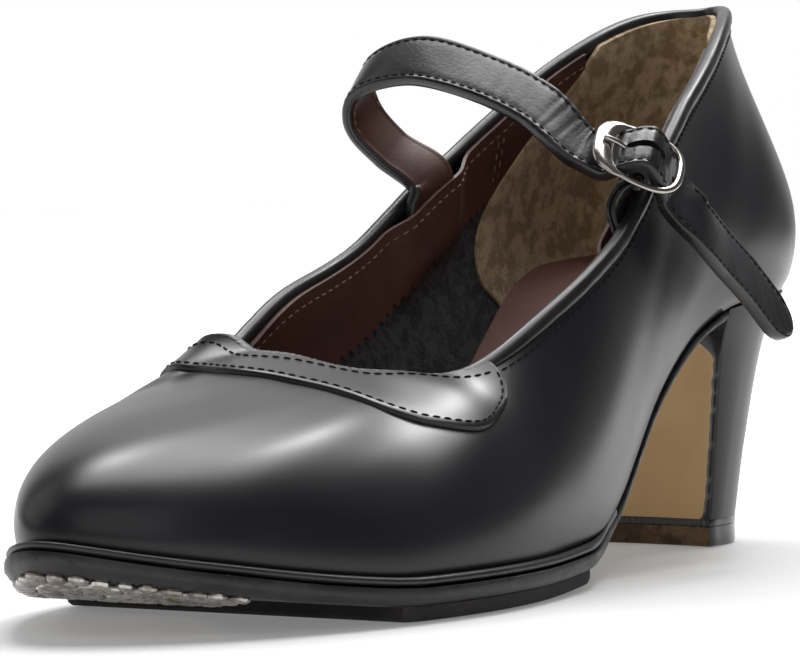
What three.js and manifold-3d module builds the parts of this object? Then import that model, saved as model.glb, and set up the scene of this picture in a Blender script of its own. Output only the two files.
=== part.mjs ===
// A left dance shoe with a buckled instep strap, a covered block heel and nailed toe and heel.
// Millimetres, +Z up, toe towards -Y, outer side of the foot towards +X. Lengths along the shoe
// are measured forward from the back of the heel seat and are written as "d", so y = -d.
import * as THREE from "three";
import { mergeVertices } from "three/addons/utils/BufferGeometryUtils.js";
import Module from "manifold-3d";

const wasm = await Module();
wasm.setup();

// ---------------------------------------------------------------- driving dimensions
const SEAM_LENGTH = 235; // heel back to toe tip along the seam between upper and sole
const BALL_AT = 165; // widest part of the outer side, forward of the heel back
const BALL_OUTER = 34.8; // seam to the long axis at the ball, outer side
const BALL_INNER = 39;
const WAIST_AT = 80;
const WAIST_OUTER = 24.5;
const WAIST_INNER = 22;
const SEAT_AT = 28;
const SEAT_HALF = 26;
const TOE_INWARD = 12; // the toe tip lies this far towards the inner side
const SEAT_HEIGHT = 53; // seam above the ground at the back of the heel
const TOE_SPRING = 8; // further rise of the seam at the toe tip
const BACK_RISE = 58; // top edge above the seam at the back of the heel
const THROAT_AT = 163; // front of the foot opening
const THROAT_RISE = 37.5; // top edge above the seam there
const TOE_DEPTH = 17; // how steeply the toe box stands up from the seam

const GAP = 0.3; // clearance between pieces that touch
const TREAD = 2.4; // rubber half sole
const OUTSOLE = 3.2;
const BALL_HEIGHT = TREAD + OUTSOLE + 2 * GAP; // seam above the ground under the ball
const WAIST_SOLE = 2.3; // the outsole is skived to this under the waist
const UPPER = 1.2; // upper leather
const LASTING = 9; // width of the leather turned under
const START = 2; // linings and stiffeners start this far above the seam
const STIFFENER = 0.9;
const LINING = 0.8;
const BOARD = 1.8; // insole board
const FOAM = 1.4;
const SOCK = 0.8;
const BOARD_MARGIN = 5.7; // edge of the board inside the seam
const BINDING = 0.6; // leather folded over the top edge
const BINDING_OUTSIDE = 4.6; // how far it reaches down outside
const BINDING_INSIDE = 2.4;
const FOLD_GAP = 0.45; // inside the fold, where the top edge turns sharply
const OVERLAY = 0.9; // leather of the throat band
const OVERLAY_WIDTH = 18; // where the throat band is widest, on the outer side
const WELT = 2.2; // width of the welt bead
const WELT_HEIGHT = 1.6;
const SOLE_EDGE = 0.7; // outsole edge beyond the welt
const FLUSH_EDGE = 0.4; // outsole edge beyond the seam at the waist

const HEEL_LIFT = 4; // fibre top piece
const LIFT_SPACER = 1.2;
const COVER = 0.9; // leather round the heel block
const FOOT_HALF = 17.5; // half width of the heel where it meets the ground
const FOOT_BACK = 14; // back of the heel there
const FOOT_FRONT = 38.5;
const BREAST_AT = 45; // front of the heel at the seat
const FLAP = 1.1; // leather down the heel breast

const NAIL_PITCH = 7;
const NAIL_ROW_PITCH = 6.5;
const NAIL_EDGE = 4.4; // first row to the edge of the sole
const NAIL_ACROSS = 4.6; // a head; the driven heads meet and make one metal field
const NAIL_HEAD = 1.3;
const NAIL_SHANK = 1; // across the square shank
const NAIL_DEPTH = 1.8; // how far a shank reaches above its head
const NAIL_ROWS = 3;
const NAILS_FROM = 193; // the nails cover the sole forward of this
const HEEL_NAILS = 6;

const STRAP_WIDTH = 12;
const STRAP_OUTER = 1.1;
const STRAP_LINING = 0.8;
const STRAP_SLOT = 2.6; // width of the hole for the prong
const ROOT_DEPTH = 11; // how far the strap and the tab are sewn in below the top edge
const BUCKLE_HALF = 7.5; // bar to bar along the strap
const BAR_RADIUS = 0.8;
const BAR_DROP = 1; // centre bar below the frame
const TAB_LEATHER = 1;
const TAB_WIDTH = 9;

// ---------------------------------------------------------------- curves and solids
const vec = (x, d, z) => new THREE.Vector3(x, -d, z);
const mix = THREE.MathUtils.lerp;
const step = (x, from, to) => THREE.MathUtils.smoothstep(x, from, to);
const range = (n) => Array.from({ length: n }, (_, i) => i);

// A smooth function of one number through [x, y] points, with the slope of its neighbours at each;
// it stays level between points of equal y.
function curveThrough(points) {
  const slope = points.map((p, i) => {
    const a = points[Math.max(i - 1, 0)];
    const b = points[Math.min(i + 1, points.length - 1)];
    const level = [a, b].some((q) => q !== p && q[1] === p[1]);
    return level ? 0 : (b[1] - a[1]) / (b[0] - a[0]);
  });
  return (x) => {
    const last = points.length - 2;
    let i = points.findIndex((p) => p[0] > x) - 1;
    if (i < 0) i = x <= points[0][0] ? 0 : last;
    const [x0, y0] = points[i];
    const [x1, y1] = points[i + 1];
    const h = x1 - x0;
    const t = THREE.MathUtils.clamp((x - x0) / h, 0, 1);
    const [t2, t3] = [t * t, t * t * t];
    return (2 * t3 - 3 * t2 + 1) * y0 + (t3 - 2 * t2 + t) * h * slope[i]
      + (3 * t2 - 2 * t3) * y1 + (t3 - t2) * h * slope[i + 1];
  };
}

// A closed curve with continuous curvature through the given points; parameter i is point i.
function closedSpline(points) {
  const n = points.length;
  const at = (list, i) => list[((i % n) + n) % n];
  let tangents = points.map((_, i) => at(points, i + 1).clone().sub(at(points, i - 1)).divideScalar(2));
  for (let pass = 0; pass < 40; pass++) {
    tangents = tangents.map((_, i) =>
      at(points, i + 1).clone().sub(at(points, i - 1)).multiplyScalar(3)
        .sub(at(tangents, i + 1)).sub(at(tangents, i - 1)).divideScalar(4));
  }
  return (s) => {
    const i = Math.floor(s);
    const t = s - i;
    const [t2, t3] = [t * t, t * t * t];
    return at(points, i).clone().multiplyScalar(2 * t3 - 3 * t2 + 1)
      .addScaledVector(at(tangents, i), t3 - 2 * t2 + t)
      .addScaledVector(at(points, i + 1), 3 * t2 - 2 * t3)
      .addScaledVector(at(tangents, i + 1), t3 - t2);
  };
}

// A closed solid over a grid: pointAt(i, j, k) with k 0 on the inner skin and 1 on the outer one.
// The i direction closes on itself if round is true.
function slab(columns, rows, round, pointAt) {
  const across = round ? columns : columns + 1;
  const index = (i, j, k) => ((i % across) * (rows + 1) + j) * 2 + k;
  const positions = range(across).flatMap((i) =>
    range(rows + 1).flatMap((j) => [...pointAt(i, j, 0).toArray(), ...pointAt(i, j, 1).toArray()]));
  const faces = [];
  const quad = (a, b, c, d) => faces.push(a, b, c, a, c, d);
  for (const i of range(columns)) {
    for (const j of range(rows)) {
      quad(index(i, j, 1), index(i + 1, j, 1), index(i + 1, j + 1, 1), index(i, j + 1, 1));
      quad(index(i, j, 0), index(i, j + 1, 0), index(i + 1, j + 1, 0), index(i + 1, j, 0));
    }
    quad(index(i, 0, 0), index(i + 1, 0, 0), index(i + 1, 0, 1), index(i, 0, 1));
    quad(index(i, rows, 0), index(i, rows, 1), index(i + 1, rows, 1), index(i + 1, rows, 0));
  }
  if (!round) {
    for (const j of range(rows)) {
      quad(index(0, j, 0), index(0, j, 1), index(0, j + 1, 1), index(0, j + 1, 0));
      quad(index(columns, j, 0), index(columns, j + 1, 0), index(columns, j + 1, 1), index(columns, j, 1));
    }
  }
  return geometryOf(positions, faces);
}

// A bar swept along rings of points: ringAt(i) lists one cross-section; closed joins last to first.
function loft(count, closed, ringAt) {
  const rings = range(count).map(ringAt);
  const size = rings[0].length;
  const positions = rings.flatMap((ring) => ring.flatMap((p) => p.toArray()));
  const faces = [];
  for (const i of range(closed ? count : count - 1)) {
    const next = (i + 1) % count;
    for (const j of range(size)) {
      const after = (j + 1) % size;
      const [a, b] = [i * size + j, i * size + after];
      const [c, d] = [next * size + after, next * size + j];
      faces.push(a, b, c, a, c, d);
    }
  }
  if (!closed) {
    const flat = THREE.ShapeUtils.triangulateShape(flatten(rings[0]), []);
    for (const [a, b, c] of flat) faces.push(c, b, a);
    const top = (count - 1) * size;
    for (const [a, b, c] of THREE.ShapeUtils.triangulateShape(flatten(rings[count - 1]), [])) {
      faces.push(top + a, top + b, top + c);
    }
  }
  return geometryOf(positions, faces);
}

// A planar ring of points in its own plane, for triangulating an end cap.
function flatten(ring) {
  const x = ring[1].clone().sub(ring[0]).normalize();
  const normal = new THREE.Vector3();
  ring.forEach((p, i) => normal.add(new THREE.Vector3().crossVectors(p, ring[(i + 1) % ring.length])));
  const y = new THREE.Vector3().crossVectors(normal.normalize(), x);
  return ring.map((p) => new THREE.Vector2(p.dot(x), p.dot(y)));
}

// Vertices and faces as a geometry whose faces point out.
function geometryOf(positions, faces) {
  const geometry = new THREE.BufferGeometry();
  geometry.setAttribute("position", new THREE.Float32BufferAttribute(positions, 3));
  geometry.setIndex(faces);
  return signedVolume(geometry) < 0 ? geometryOf(positions, faces.slice().reverse()) : geometry;
}

function signedVolume(geometry) {
  const p = geometry.getAttribute("position");
  const index = geometry.getIndex();
  const [a, b, c] = range(3).map(() => new THREE.Vector3());
  let sum = 0;
  for (let i = 0; i < index.count; i += 3) {
    a.fromBufferAttribute(p, index.getX(i));
    b.fromBufferAttribute(p, index.getX(i + 1));
    c.fromBufferAttribute(p, index.getX(i + 2));
    sum += a.dot(b.cross(c)) / 6;
  }
  return sum;
}

function solidOf(geometry) {
  const bare = geometry.clone();
  bare.deleteAttribute("normal");
  bare.deleteAttribute("uv");
  const merged = mergeVertices(bare, 1e-4);
  const vertProperties = new Float32Array(merged.getAttribute("position").array);
  const triVerts = new Uint32Array(merged.getIndex().array);
  return new wasm.Manifold(new wasm.Mesh({ numProp: 3, vertProperties, triVerts }));
}

function geometryFrom(solid) {
  const mesh = solid.getMesh();
  return geometryOf(Array.from(mesh.vertProperties), Array.from(mesh.triVerts));
}

const union = (geometries) =>
  geometryFrom(geometries.map(solidOf).reduce((whole, piece) => whole.add(piece)));
const cut = (geometry, tools) =>
  geometryFrom(tools.map(solidOf).reduce((whole, tool) => whole.subtract(tool), solidOf(geometry)));

// ---------------------------------------------------------------- the last: seam, ribs and layers
const SHANK_END = BALL_AT - 49; // the sole flattens out here

// Height of the seam over the ground, by distance from the heel back.
const HEEL_LIFTED = SEAT_HEIGHT - BALL_HEIGHT;
const seamHeight = curveThrough([
  [-20, SEAT_HEIGHT],
  ...[[0, 1], [SEAT_AT, 0.965], [BREAST_AT, 0.926]].map(([d, f]) => [d, BALL_HEIGHT + HEEL_LIFTED * f]),
  ...[[0.2, 0.815], [0.34, 0.68], [0.48, 0.514], [0.62, 0.322], [0.75, 0.168], [0.87, 0.078], [1, 0.027]]
    .map(([f, h]) => [mix(BREAST_AT, SHANK_END, f), BALL_HEIGHT + HEEL_LIFTED * h]),
  ...[[0.3, 0.008], [0.7, 0]].map(([f, h]) => [mix(SHANK_END, BALL_AT, f), BALL_HEIGHT + HEEL_LIFTED * h]),
  ...[[0, 0], [0.28, 0], [0.5, 0.15], [0.76, 0.51], [1, 1]]
    .map(([f, h]) => [mix(BALL_AT, SEAM_LENGTH, f), BALL_HEIGHT + TOE_SPRING * h]),
  [SEAM_LENGTH + 15, BALL_HEIGHT + TOE_SPRING * 1.9],
]);

// Stations round the shoe: heel back, outer side, toe, inner side. Each has its seam point (x, d),
// its top edge point (x, d, rise over the seam), and how the wall leaves both:
// outward and up from the seam, outward and down from the top edge.
const toe = (f) => mix(BALL_AT, SEAM_LENGTH, f);
const throat = (back) => THROAT_AT - back;
const STATIONS = [
  [0, 0, -1.5, 2.5, BACK_RISE, 7, 20, 1, 22],
  [0.74 * SEAT_HALF, 7.5, 6.5, 6.5, BACK_RISE + 0.3, 9, 20, 3, 22],
  [SEAT_HALF, SEAT_AT, 15, SEAT_AT - 1, BACK_RISE - 4, 8, 20, 3, 20],
  [0.97 * SEAT_HALF, 51, 20.7, 50, BACK_RISE - 11, 7, 18, 3, 16],
  [WAIST_OUTER, WAIST_AT, 26, WAIST_AT + 1, 49, 5, 16, 2, 14],
  [mix(WAIST_OUTER, BALL_OUTER, 0.46), 112, 26.3, 112, 49, 5, 16, 4, 10],
  [0.97 * BALL_OUTER, 140, 19.5, throat(22), THROAT_RISE - 1.8, 5, 15, 10, 3],
  [BALL_OUTER, BALL_AT, 10, throat(11), THROAT_RISE - 3.7, 4.5, 15, 17, 1],
  [0.82 * BALL_OUTER, toe(0.4), 3.5, throat(6.3), THROAT_RISE - 3, 4, TOE_DEPTH - 3, 22, 5],
  [0.43 * BALL_OUTER, toe(0.757), -2.5, throat(3.6), THROAT_RISE - 1.8, 4, TOE_DEPTH, 30, 7],
  [1, toe(0.943), -7, throat(1.5), THROAT_RISE - 0.4, 4, TOE_DEPTH + 1, 32, 8],
  [-TOE_INWARD, SEAM_LENGTH, -11.5, throat(0), THROAT_RISE + 0.3, 4, TOE_DEPTH + 1, 34, 9],
  [-TOE_INWARD - 10, toe(0.88), -16, throat(0.6), THROAT_RISE + 1, 6.5, TOE_DEPTH, 28, 8],
  [-0.84 * BALL_INNER, toe(0.6), -21.5, throat(2.4), THROAT_RISE + 3.3, 4.2, TOE_DEPTH, 14, 6],
  [-0.96 * BALL_INNER, toe(0.243), -28, throat(3.9), THROAT_RISE + 2.1, 3.5, TOE_DEPTH - 2.6, 7.5, 5],
  [-0.92 * BALL_INNER, 155, -32, throat(17), THROAT_RISE + 0.2, 4, 16, 6, 6],
  [-0.72 * BALL_INNER, 122, -32.3, 122, 48, 4, 16, 2, 12],
  [-WAIST_INNER, WAIST_AT + 10, -30.3, WAIST_AT + 11, 47.5, 3, 15, 1, 14],
  [-0.9 * SEAT_HALF, 60, -25, 61, BACK_RISE - 16, 6, 18, 3, 16],
  [-0.98 * SEAT_HALF, SEAT_AT + 3, -16, SEAT_AT + 2, BACK_RISE - 5.5, 8, 20, 3, 20],
  [-0.73 * SEAT_HALF, 7.5, -9.5, 8.5, BACK_RISE - 0.5, 9, 20, 2.5, 22],
];
const ROUND = STATIONS.length;
const TOE = 11; // the station at the toe tip
const seamCurve = closedSpline(STATIONS.map(([x, d]) => vec(x, d, 0)));
const topCurve = closedSpline(STATIONS.map(([, , x, d, rise]) => vec(x, d, rise)));
const leanCurve = closedSpline(STATIONS.map((p) => new THREE.Vector3(p[5], p[6], 0)));
const tuckCurve = closedSpline(STATIONS.map((p) => new THREE.Vector3(p[7], p[8], 0)));

const seamPoint = (s) => {
  const p = seamCurve(s);
  return p.setZ(seamHeight(-p.y));
};
const topPoint = (s) => {
  const p = topCurve(s);
  return p.setZ(p.z + seamHeight(-p.y));
};
// Level direction out of the shoe at the seam.
function outward(s) {
  const t = seamCurve(s + 0.02).sub(seamCurve(s - 0.02));
  return new THREE.Vector3(-t.y, t.x, 0).normalize();
}

const TOP_BAND = 5; // the last row of every layer below the top edge
const ROWS = [0, 0.1, 0.22, 0.36, 0.5, 0.64, 0.82, 1]; // shares of the wall between START and the band
const ribs = new Map();
// The wall at station s as a curve from the seam up, with its length.
function rib(s) {
  const key = Math.round((((s % ROUND) + ROUND) % ROUND) * 1e4);
  if (!ribs.has(key)) {
    const out = outward(s);
    const lean = leanCurve(s);
    const tuck = tuckCurve(s);
    const low = seamPoint(s);
    const high = topPoint(s);
    const curve = new THREE.CubicBezierCurve3(
      low,
      low.clone().addScaledVector(out, lean.x).add(new THREE.Vector3(0, 0, lean.y)),
      high.clone().addScaledVector(out, tuck.x).sub(new THREE.Vector3(0, 0, tuck.y)),
      high,
    );
    curve.arcLengthDivisions = 60;
    ribs.set(key, { curve, length: curve.getLength() });
  }
  return ribs.get(key);
}
// A point of the wall's outside at height a along it; past the top it carries straight on.
function wall(s, a) {
  const { curve, length } = rib(s);
  const inside = THREE.MathUtils.clamp(a, 0, length);
  const point = curve.getPointAt(inside / length);
  return point.addScaledVector(curve.getTangentAt(inside / length), a - inside);
}
function inwardNormal(s, a) {
  const { length } = rib(s);
  const share = THREE.MathUtils.clamp(a / length, 0.02, 0.98);
  const beside = (t) => wall(t, share * rib(t).length);
  const round = beside(s + 0.05).sub(beside(s - 0.05));
  return round.cross(wall(s, share * length + 0.5).sub(wall(s, share * length - 0.5))).normalize();
}
// A point inside the wall by a depth, at height a over the seam.
const skin = (s, a, depth) => wall(s, a).addScaledVector(inwardNormal(s, a), depth);
const height = (s) => rib(s).length;
const rowAt = (s, j) => START + ROWS[j] * (height(s) - TOP_BAND - START);

// Every layer has its columns at the same stations, closer together where the shape turns quickly,
// so that neighbouring layers stay parallel.
const CLOSE = [[2, 7], [13.5, 19]];
const COLUMNS = range(ROUND * 4).map((i) => i / 4)
  .filter((s) => Number.isInteger(s * 2) || CLOSE.some(([from, to]) => s > from && s < to));
const COLUMNS_TWICE = [...COLUMNS, ...COLUMNS.map((s) => s + ROUND)];
const columnsBetween = (from, to) =>
  [from, ...COLUMNS_TWICE.filter((s) => s > from + 0.1 && s < to - 0.1), to];
const rows = (from, to) => range(to - from + 1).map((j) => (s) => rowAt(s, from + j));
const above = (j, extra) => (s) => rowAt(s, j) + extra;
const below = (drop) => (s) => height(s) - drop;

// A layer of the wall through the given levels; depthOf gives its outer and inner depth.
function layer(from, to, levels, depthOf) {
  const stops = columnsBetween(from, to);
  return slab(stops.length - 1, levels.length - 1, false, (i, j, k) => {
    const a = levels[j](stops[i]);
    const [outer, inner] = depthOf(stops[i], a);
    return skin(stops[i], a, k ? outer : inner);
  });
}

// ---------------------------------------------------------------- upper, linings, stiffeners
const finish = (color, roughness, metalness = 0) =>
  new THREE.MeshStandardMaterial({ color, roughness, metalness });
const blackLeather = () => finish(0x17161a, 0.32);
const brownLining = () => finish(0x3a1f1a, 0.75);
const steel = () => finish(0xb9b4ae, 0.25, 1);
const shoe = new THREE.Group();
function add(name, geometry, material) {
  const mesh = new THREE.Mesh(geometry, material);
  mesh.name = name;
  shoe.add(mesh);
}

const LINING_DEPTH = UPPER + GAP + STIFFENER + GAP;
const INSIDE = LINING_DEPTH + LINING; // from the outside of the upper to the foot
const LINING_TOP = BINDING_INSIDE + GAP; // the lining stops this far below the top edge
const PLY_GAP = 0.45; // between the two leathers of the strap
const ROOT_THICK = STRAP_OUTER + STRAP_LINING + PLY_GAP;
const ROOT_FACE = UPPER + FOLD_GAP + GAP + BINDING; // outside of whatever is sewn in behind the binding
const STRAP_ROOT = 17.4; // station of the strap's root on the inner side
const TAB_ROOT = 4.28; // station of the buckle tab on the outer side

// The lining bulges inwards over the sewn-in ends, which are flatter than the wall.
const ROOT_ROOM = 1.3;
function bulge(s, a) {
  const near = (root) => 1 - step(Math.abs(s - root), 0.62, 1.15);
  const high = 1 - step(height(s) - a, ROOT_DEPTH + 1, ROOT_DEPTH + 10);
  const needed = ROOT_FACE + ROOT_THICK + ROOT_ROOM - LINING_DEPTH;
  return needed * high * Math.max(near(STRAP_ROOT), near(TAB_ROOT));
}
const upperDepth = () => [0, UPPER];
const liningDepth = (s, a) => [LINING_DEPTH + bulge(s, a), INSIDE + bulge(s, a)];
const stiffenerDepth = () => [UPPER + GAP, UPPER + GAP + STIFFENER];

// The upper: the wall, and the edge turned under all round.
function upperOuter() {
  const flange = [-LASTING, -LASTING / 2, 0];
  const rows = flange.length + ROWS.length;
  return slab(COLUMNS.length, rows, true, (i, j, k) => {
    const s = COLUMNS[i];
    const depth = k ? 0 : UPPER;
    if (j < flange.length) {
      const across = outward(s).multiplyScalar(flange[j] - (j === flange.length - 1 ? depth : 0));
      const p = seamPoint(s).add(across);
      return p.setZ(seamHeight(-p.y) + depth);
    }
    const row = j - flange.length;
    return skin(s, row < ROWS.length ? rowAt(s, row) : height(s), depth);
  });
}
add("upper_outer", upperOuter(), blackLeather());

// The folded edge: an upside-down J over the top of the upper, in one strip all round.
const bindingSection = (s) => {
  const top = height(s);
  const over = top + GAP + BINDING;
  const outer = -FOLD_GAP;
  const inner = UPPER + FOLD_GAP;
  return [
    [top - BINDING_OUTSIDE, outer - BINDING], [top, outer - BINDING], [over, outer], [over, inner],
    [top, inner + BINDING], [top - BINDING_INSIDE, inner + BINDING], [top - BINDING_INSIDE, inner],
    [top + GAP, inner], [top + GAP, outer], [top - BINDING_OUTSIDE, outer],
  ].map(([a, depth]) => skin(s, a, depth));
};
add("topline_binding", loft(COLUMNS.length, true, (i) => bindingSection(COLUMNS[i])), blackLeather());

// The band over the throat: a strip on the outside of the vamp, under the binding's lower edge.
const BAND_FROM = 6;
const BAND_TO = 15;
const BAND_ROWS = 4;
const BAND_GAP = 0.42; // over the curved vamp
const bandWidth = curveThrough([
  [6, 0.17], [6.4, 0.53], [7, 0.97], [7.6, 1], [8.1, 0.89], [9.7, 0.65], [11.5, 0.42], [12.8, 0.5], [15, 0.28],
]); // as a share of the widest, by station
const bandStops = columnsBetween(BAND_FROM, BAND_TO);
add("throat_overlay", slab(bandStops.length - 1, BAND_ROWS, false, (i, j, k) => {
  const s = bandStops[i];
  const a = height(s) - BINDING_OUTSIDE - GAP - (1 - j / BAND_ROWS) * OVERLAY_WIDTH * bandWidth(s);
  return skin(s, a, -BAND_GAP - (k ? OVERLAY : 0));
}), blackLeather());

// Linings: brown band along the top, felt round the forepart and sides, suede grip round the heel.
const GRIP_OUTER = 2.6; // front edges of the heel grip, as stations
const GRIP_INNER = 18.4;
const SEAM_GAP = 0.02; // between neighbouring pieces, as part of a station
const [FRONT_FROM, FRONT_TO] = [GRIP_OUTER + SEAM_GAP, GRIP_INNER - SEAM_GAP];
const topRows = [...rows(6, 7), below(LINING_TOP)];
add("lining_band", layer(FRONT_FROM, FRONT_TO, [above(5, GAP), ...topRows], liningDepth), brownLining());
add("lining_felt", layer(FRONT_FROM, FRONT_TO, rows(0, 5), liningDepth), finish(0x121214, 0.95));
add("heel_grip", layer(GRIP_INNER, ROUND + GRIP_OUTER, [...rows(0, 5), ...topRows], liningDepth),
  finish(0xb59668, 0.95));
add("toe_puff", layer(8, 14, rows(0, 4), stiffenerDepth), finish(0xcfc6b4, 0.8));
add("heel_counter", layer(ROUND - 3, ROUND + 3, rows(0, 5), stiffenerDepth), finish(0x8f7350, 0.8));

// ---------------------------------------------------------------- sole, board and filling
// The outline of a level piece: the seam moved outwards by a distance that may depend on d.
function outline(edgeAt) {
  return range(ROUND * 12).map((i) => {
    const p = seamPoint(i / 12);
    return p.addScaledVector(outward(i / 12), edgeAt(-p.y));
  });
}
// Where the outline crosses a line across the shoe: inner and outer x.
function crossing(points, d) {
  const found = points.flatMap((p, i) => {
    const q = points[(i + 1) % points.length];
    return (-p.y - d) * (-q.y - d) <= 0 && p.y !== q.y ? [mix(p.x, q.x, (-d - p.y) / (q.y - p.y))] : [];
  });
  return [Math.min(...found), Math.max(...found)];
}
// Sections of a level piece: close together round its ends and where the sole turns.
function sectionsBetween(low, high) {
  const ends = [0, 0.6, 2, 4.5, 8.5];
  const turn = range(40).map((i) => BREAST_AT - 10 + i * 5).filter((d) => d < SHANK_END + 12);
  const rest = range(40).map((i) => (i - 10) * 13).filter((d) => d < turn[0] - 3 || d > SHANK_END + 14);
  const inner = [...turn, ...rest].filter((d) => d > low + 10 && d < high - 10);
  return [...ends.map((e) => low + e), ...inner, ...ends.map((e) => high - e)].sort((p, q) => p - q);
}
// A level piece across the shoe, from d to d, between two heights that follow the sole.
function plate(edgeAt, from, to, bottomAt, topAt) {
  const points = outline(edgeAt);
  const ends = points.map((p) => -p.y);
  const low = Math.max(from, Math.min(...ends) + 0.25);
  const high = Math.min(to, Math.max(...ends) - 0.25);
  const stops = sectionsBetween(low, high);
  return loft(stops.length, false, (i) => {
    const d = stops[i];
    const [inner, outer] = crossing(points, d);
    const [bottom, top] = [bottomAt(d), topAt(d)];
    return [vec(inner, d, bottom), vec(outer, d, bottom), vec(outer, d, top), vec(inner, d, top)];
  });
}
const [START_OF_SHOE, END_OF_SHOE] = [-50, SEAM_LENGTH + 50];
const soleEdge = (d) => mix(FLUSH_EDGE, WELT + SOLE_EDGE, step(d, SHANK_END - 12, SHANK_END + 12));
const soleTop = (d) => seamHeight(d) - GAP;
const soleBottom = (d) => soleTop(d) - mix(WAIST_SOLE, OUTSOLE, step(d, SHANK_END - 25, SHANK_END));

// The boards and the filling inside, over the turned-under leather.
const boardBottom = (d) => seamHeight(d) + UPPER + 0.5;
const boardTop = (d) => boardBottom(d) + BOARD;
const sockTop = (d) => foamTop(d) + GAP + SOCK;
const foamTop = (d) => boardTop(d) + GAP + FOAM;
const boardEdge = () => -BOARD_MARGIN;
const cushionEdge = () => -BOARD_MARGIN - 0.3;
add("insole_board", plate(boardEdge, START_OF_SHOE, END_OF_SHOE, boardBottom, boardTop),
  finish(0x9a7a50, 0.9));
add("heel_pad", plate(cushionEdge, START_OF_SHOE, END_OF_SHOE, (d) => boardTop(d) + GAP, foamTop),
  finish(0xd8cfae, 0.95));
add("sock_lining", plate(cushionEdge, START_OF_SHOE, END_OF_SHOE, (d) => foamTop(d) + GAP, sockTop),
  finish(0x4a231b, 0.6));
const fillerEdge = () => -LASTING - GAP;
const SHANK_HALF = 6;
add("bottom_filler", plate(fillerEdge, SHANK_END + 4, END_OF_SHOE, seamHeight, (d) => seamHeight(d) + UPPER),
  finish(0xa57c4e, 0.95));
const shankStops = sectionsBetween(SEAT_AT + 8, SHANK_END);
add("shank", loft(shankStops.length, false, (i) => {
  const d = shankStops[i];
  const x = -1;
  const [low, high] = [seamHeight(d) + 0.1, seamHeight(d) + UPPER - 0.1];
  return [vec(x - SHANK_HALF, d, low), vec(x + SHANK_HALF, d, low), vec(x + SHANK_HALF, d, high),
    vec(x - SHANK_HALF, d, high)];
}), steel());

// ---------------------------------------------------------------- nails under the toe
// Where the nails stand: rows that follow the toe's outline, one inside the other.
function nailPlaces() {
  return range(NAIL_ROWS).flatMap((row) => {
    const edge = (d) => soleEdge(d) - NAIL_EDGE - row * NAIL_ROW_PITCH;
    const line = new THREE.CatmullRomCurve3(outline(edge).filter((p) => -p.y > NAILS_FROM));
    return line.getSpacedPoints(Math.round(line.getLength() / NAIL_PITCH));
  });
}
// A prism along the direction away from the sole at a nail's place.
function nailPrism(place, across, sides, from, to) {
  const d = -place.y;
  const slope = (soleBottom(d + 1) - soleBottom(d - 1)) / 2;
  const prism = new THREE.CylinderGeometry(across / 2, across / 2, to - from, sides);
  prism.rotateX(Math.PI / 2);
  prism.translate(0, 0, (from + to) / 2);
  prism.rotateX(-Math.atan(slope));
  prism.translate(place.x, place.y, soleBottom(d));
  return prism;
}
const nails = nailPlaces();
const HOLE_ROOM = 0.9; // nail hole wider than the shank, corner to corner
const headsEdge = (d) => soleEdge(d) - NAIL_EDGE + NAIL_ACROSS / 2;
const heads = plate(headsEdge, NAILS_FROM, END_OF_SHOE, (d) => soleBottom(d) - GAP - NAIL_HEAD,
  (d) => soleBottom(d) - GAP);
const shanks = nails.map((p) => nailPrism(p, NAIL_SHANK * Math.SQRT2, 4, -GAP - 0.5, NAIL_DEPTH));
const holes = nails.map((p) =>
  nailPrism(p, NAIL_SHANK * Math.SQRT2 + HOLE_ROOM, 4, -1, NAIL_DEPTH + GAP));
add("toe_nails", union([heads, ...shanks]), finish(0xc9c2b8, 0.35, 1));
const outsole = plate(soleEdge, BREAST_AT + FLAP, END_OF_SHOE, soleBottom, soleTop);
add("outsole", cut(outsole, holes), finish(0x1b1a1b, 0.55));
const treadEdge = (d) => soleEdge(d) - 1.6;
const treadTop = (d) => soleBottom(d) - GAP;
add("half_sole", plate(treadEdge, SHANK_END + 6, NAILS_FROM - NAIL_ACROSS / 2 - 1, (d) => treadTop(d) - TREAD,
  treadTop), finish(0x1d1a18, 0.9));

// The welt: a bead on the outsole, against the foot of the upper, from waist to waist round the toe.
const onSole = (p, up) => p.setZ(seamHeight(-p.y) + up);
const WELT_GAP = 0.5; // the wall leans out over the welt
const WELT_FROM = 4.7;
const WELT_TO = 16.45;
const WELT_STEPS = 48;
add("welt", loft(WELT_STEPS + 1, false, (i) => {
  const s = mix(WELT_FROM, WELT_TO, i / WELT_STEPS);
  const out = outward(s);
  const seam = seamPoint(s);
  const wide = Math.min(WELT, soleEdge(-seam.y) - 0.05);
  const section = [[0.02, 0], [0.9, 0], [1, 0.45], [0.75, 1], [0.12, 0.85]];
  return section.map(([across, up]) =>
    onSole(seam.clone().addScaledVector(out, WELT_GAP + across * (wide - WELT_GAP)), up * WELT_HEIGHT));
}), blackLeather());

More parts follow.
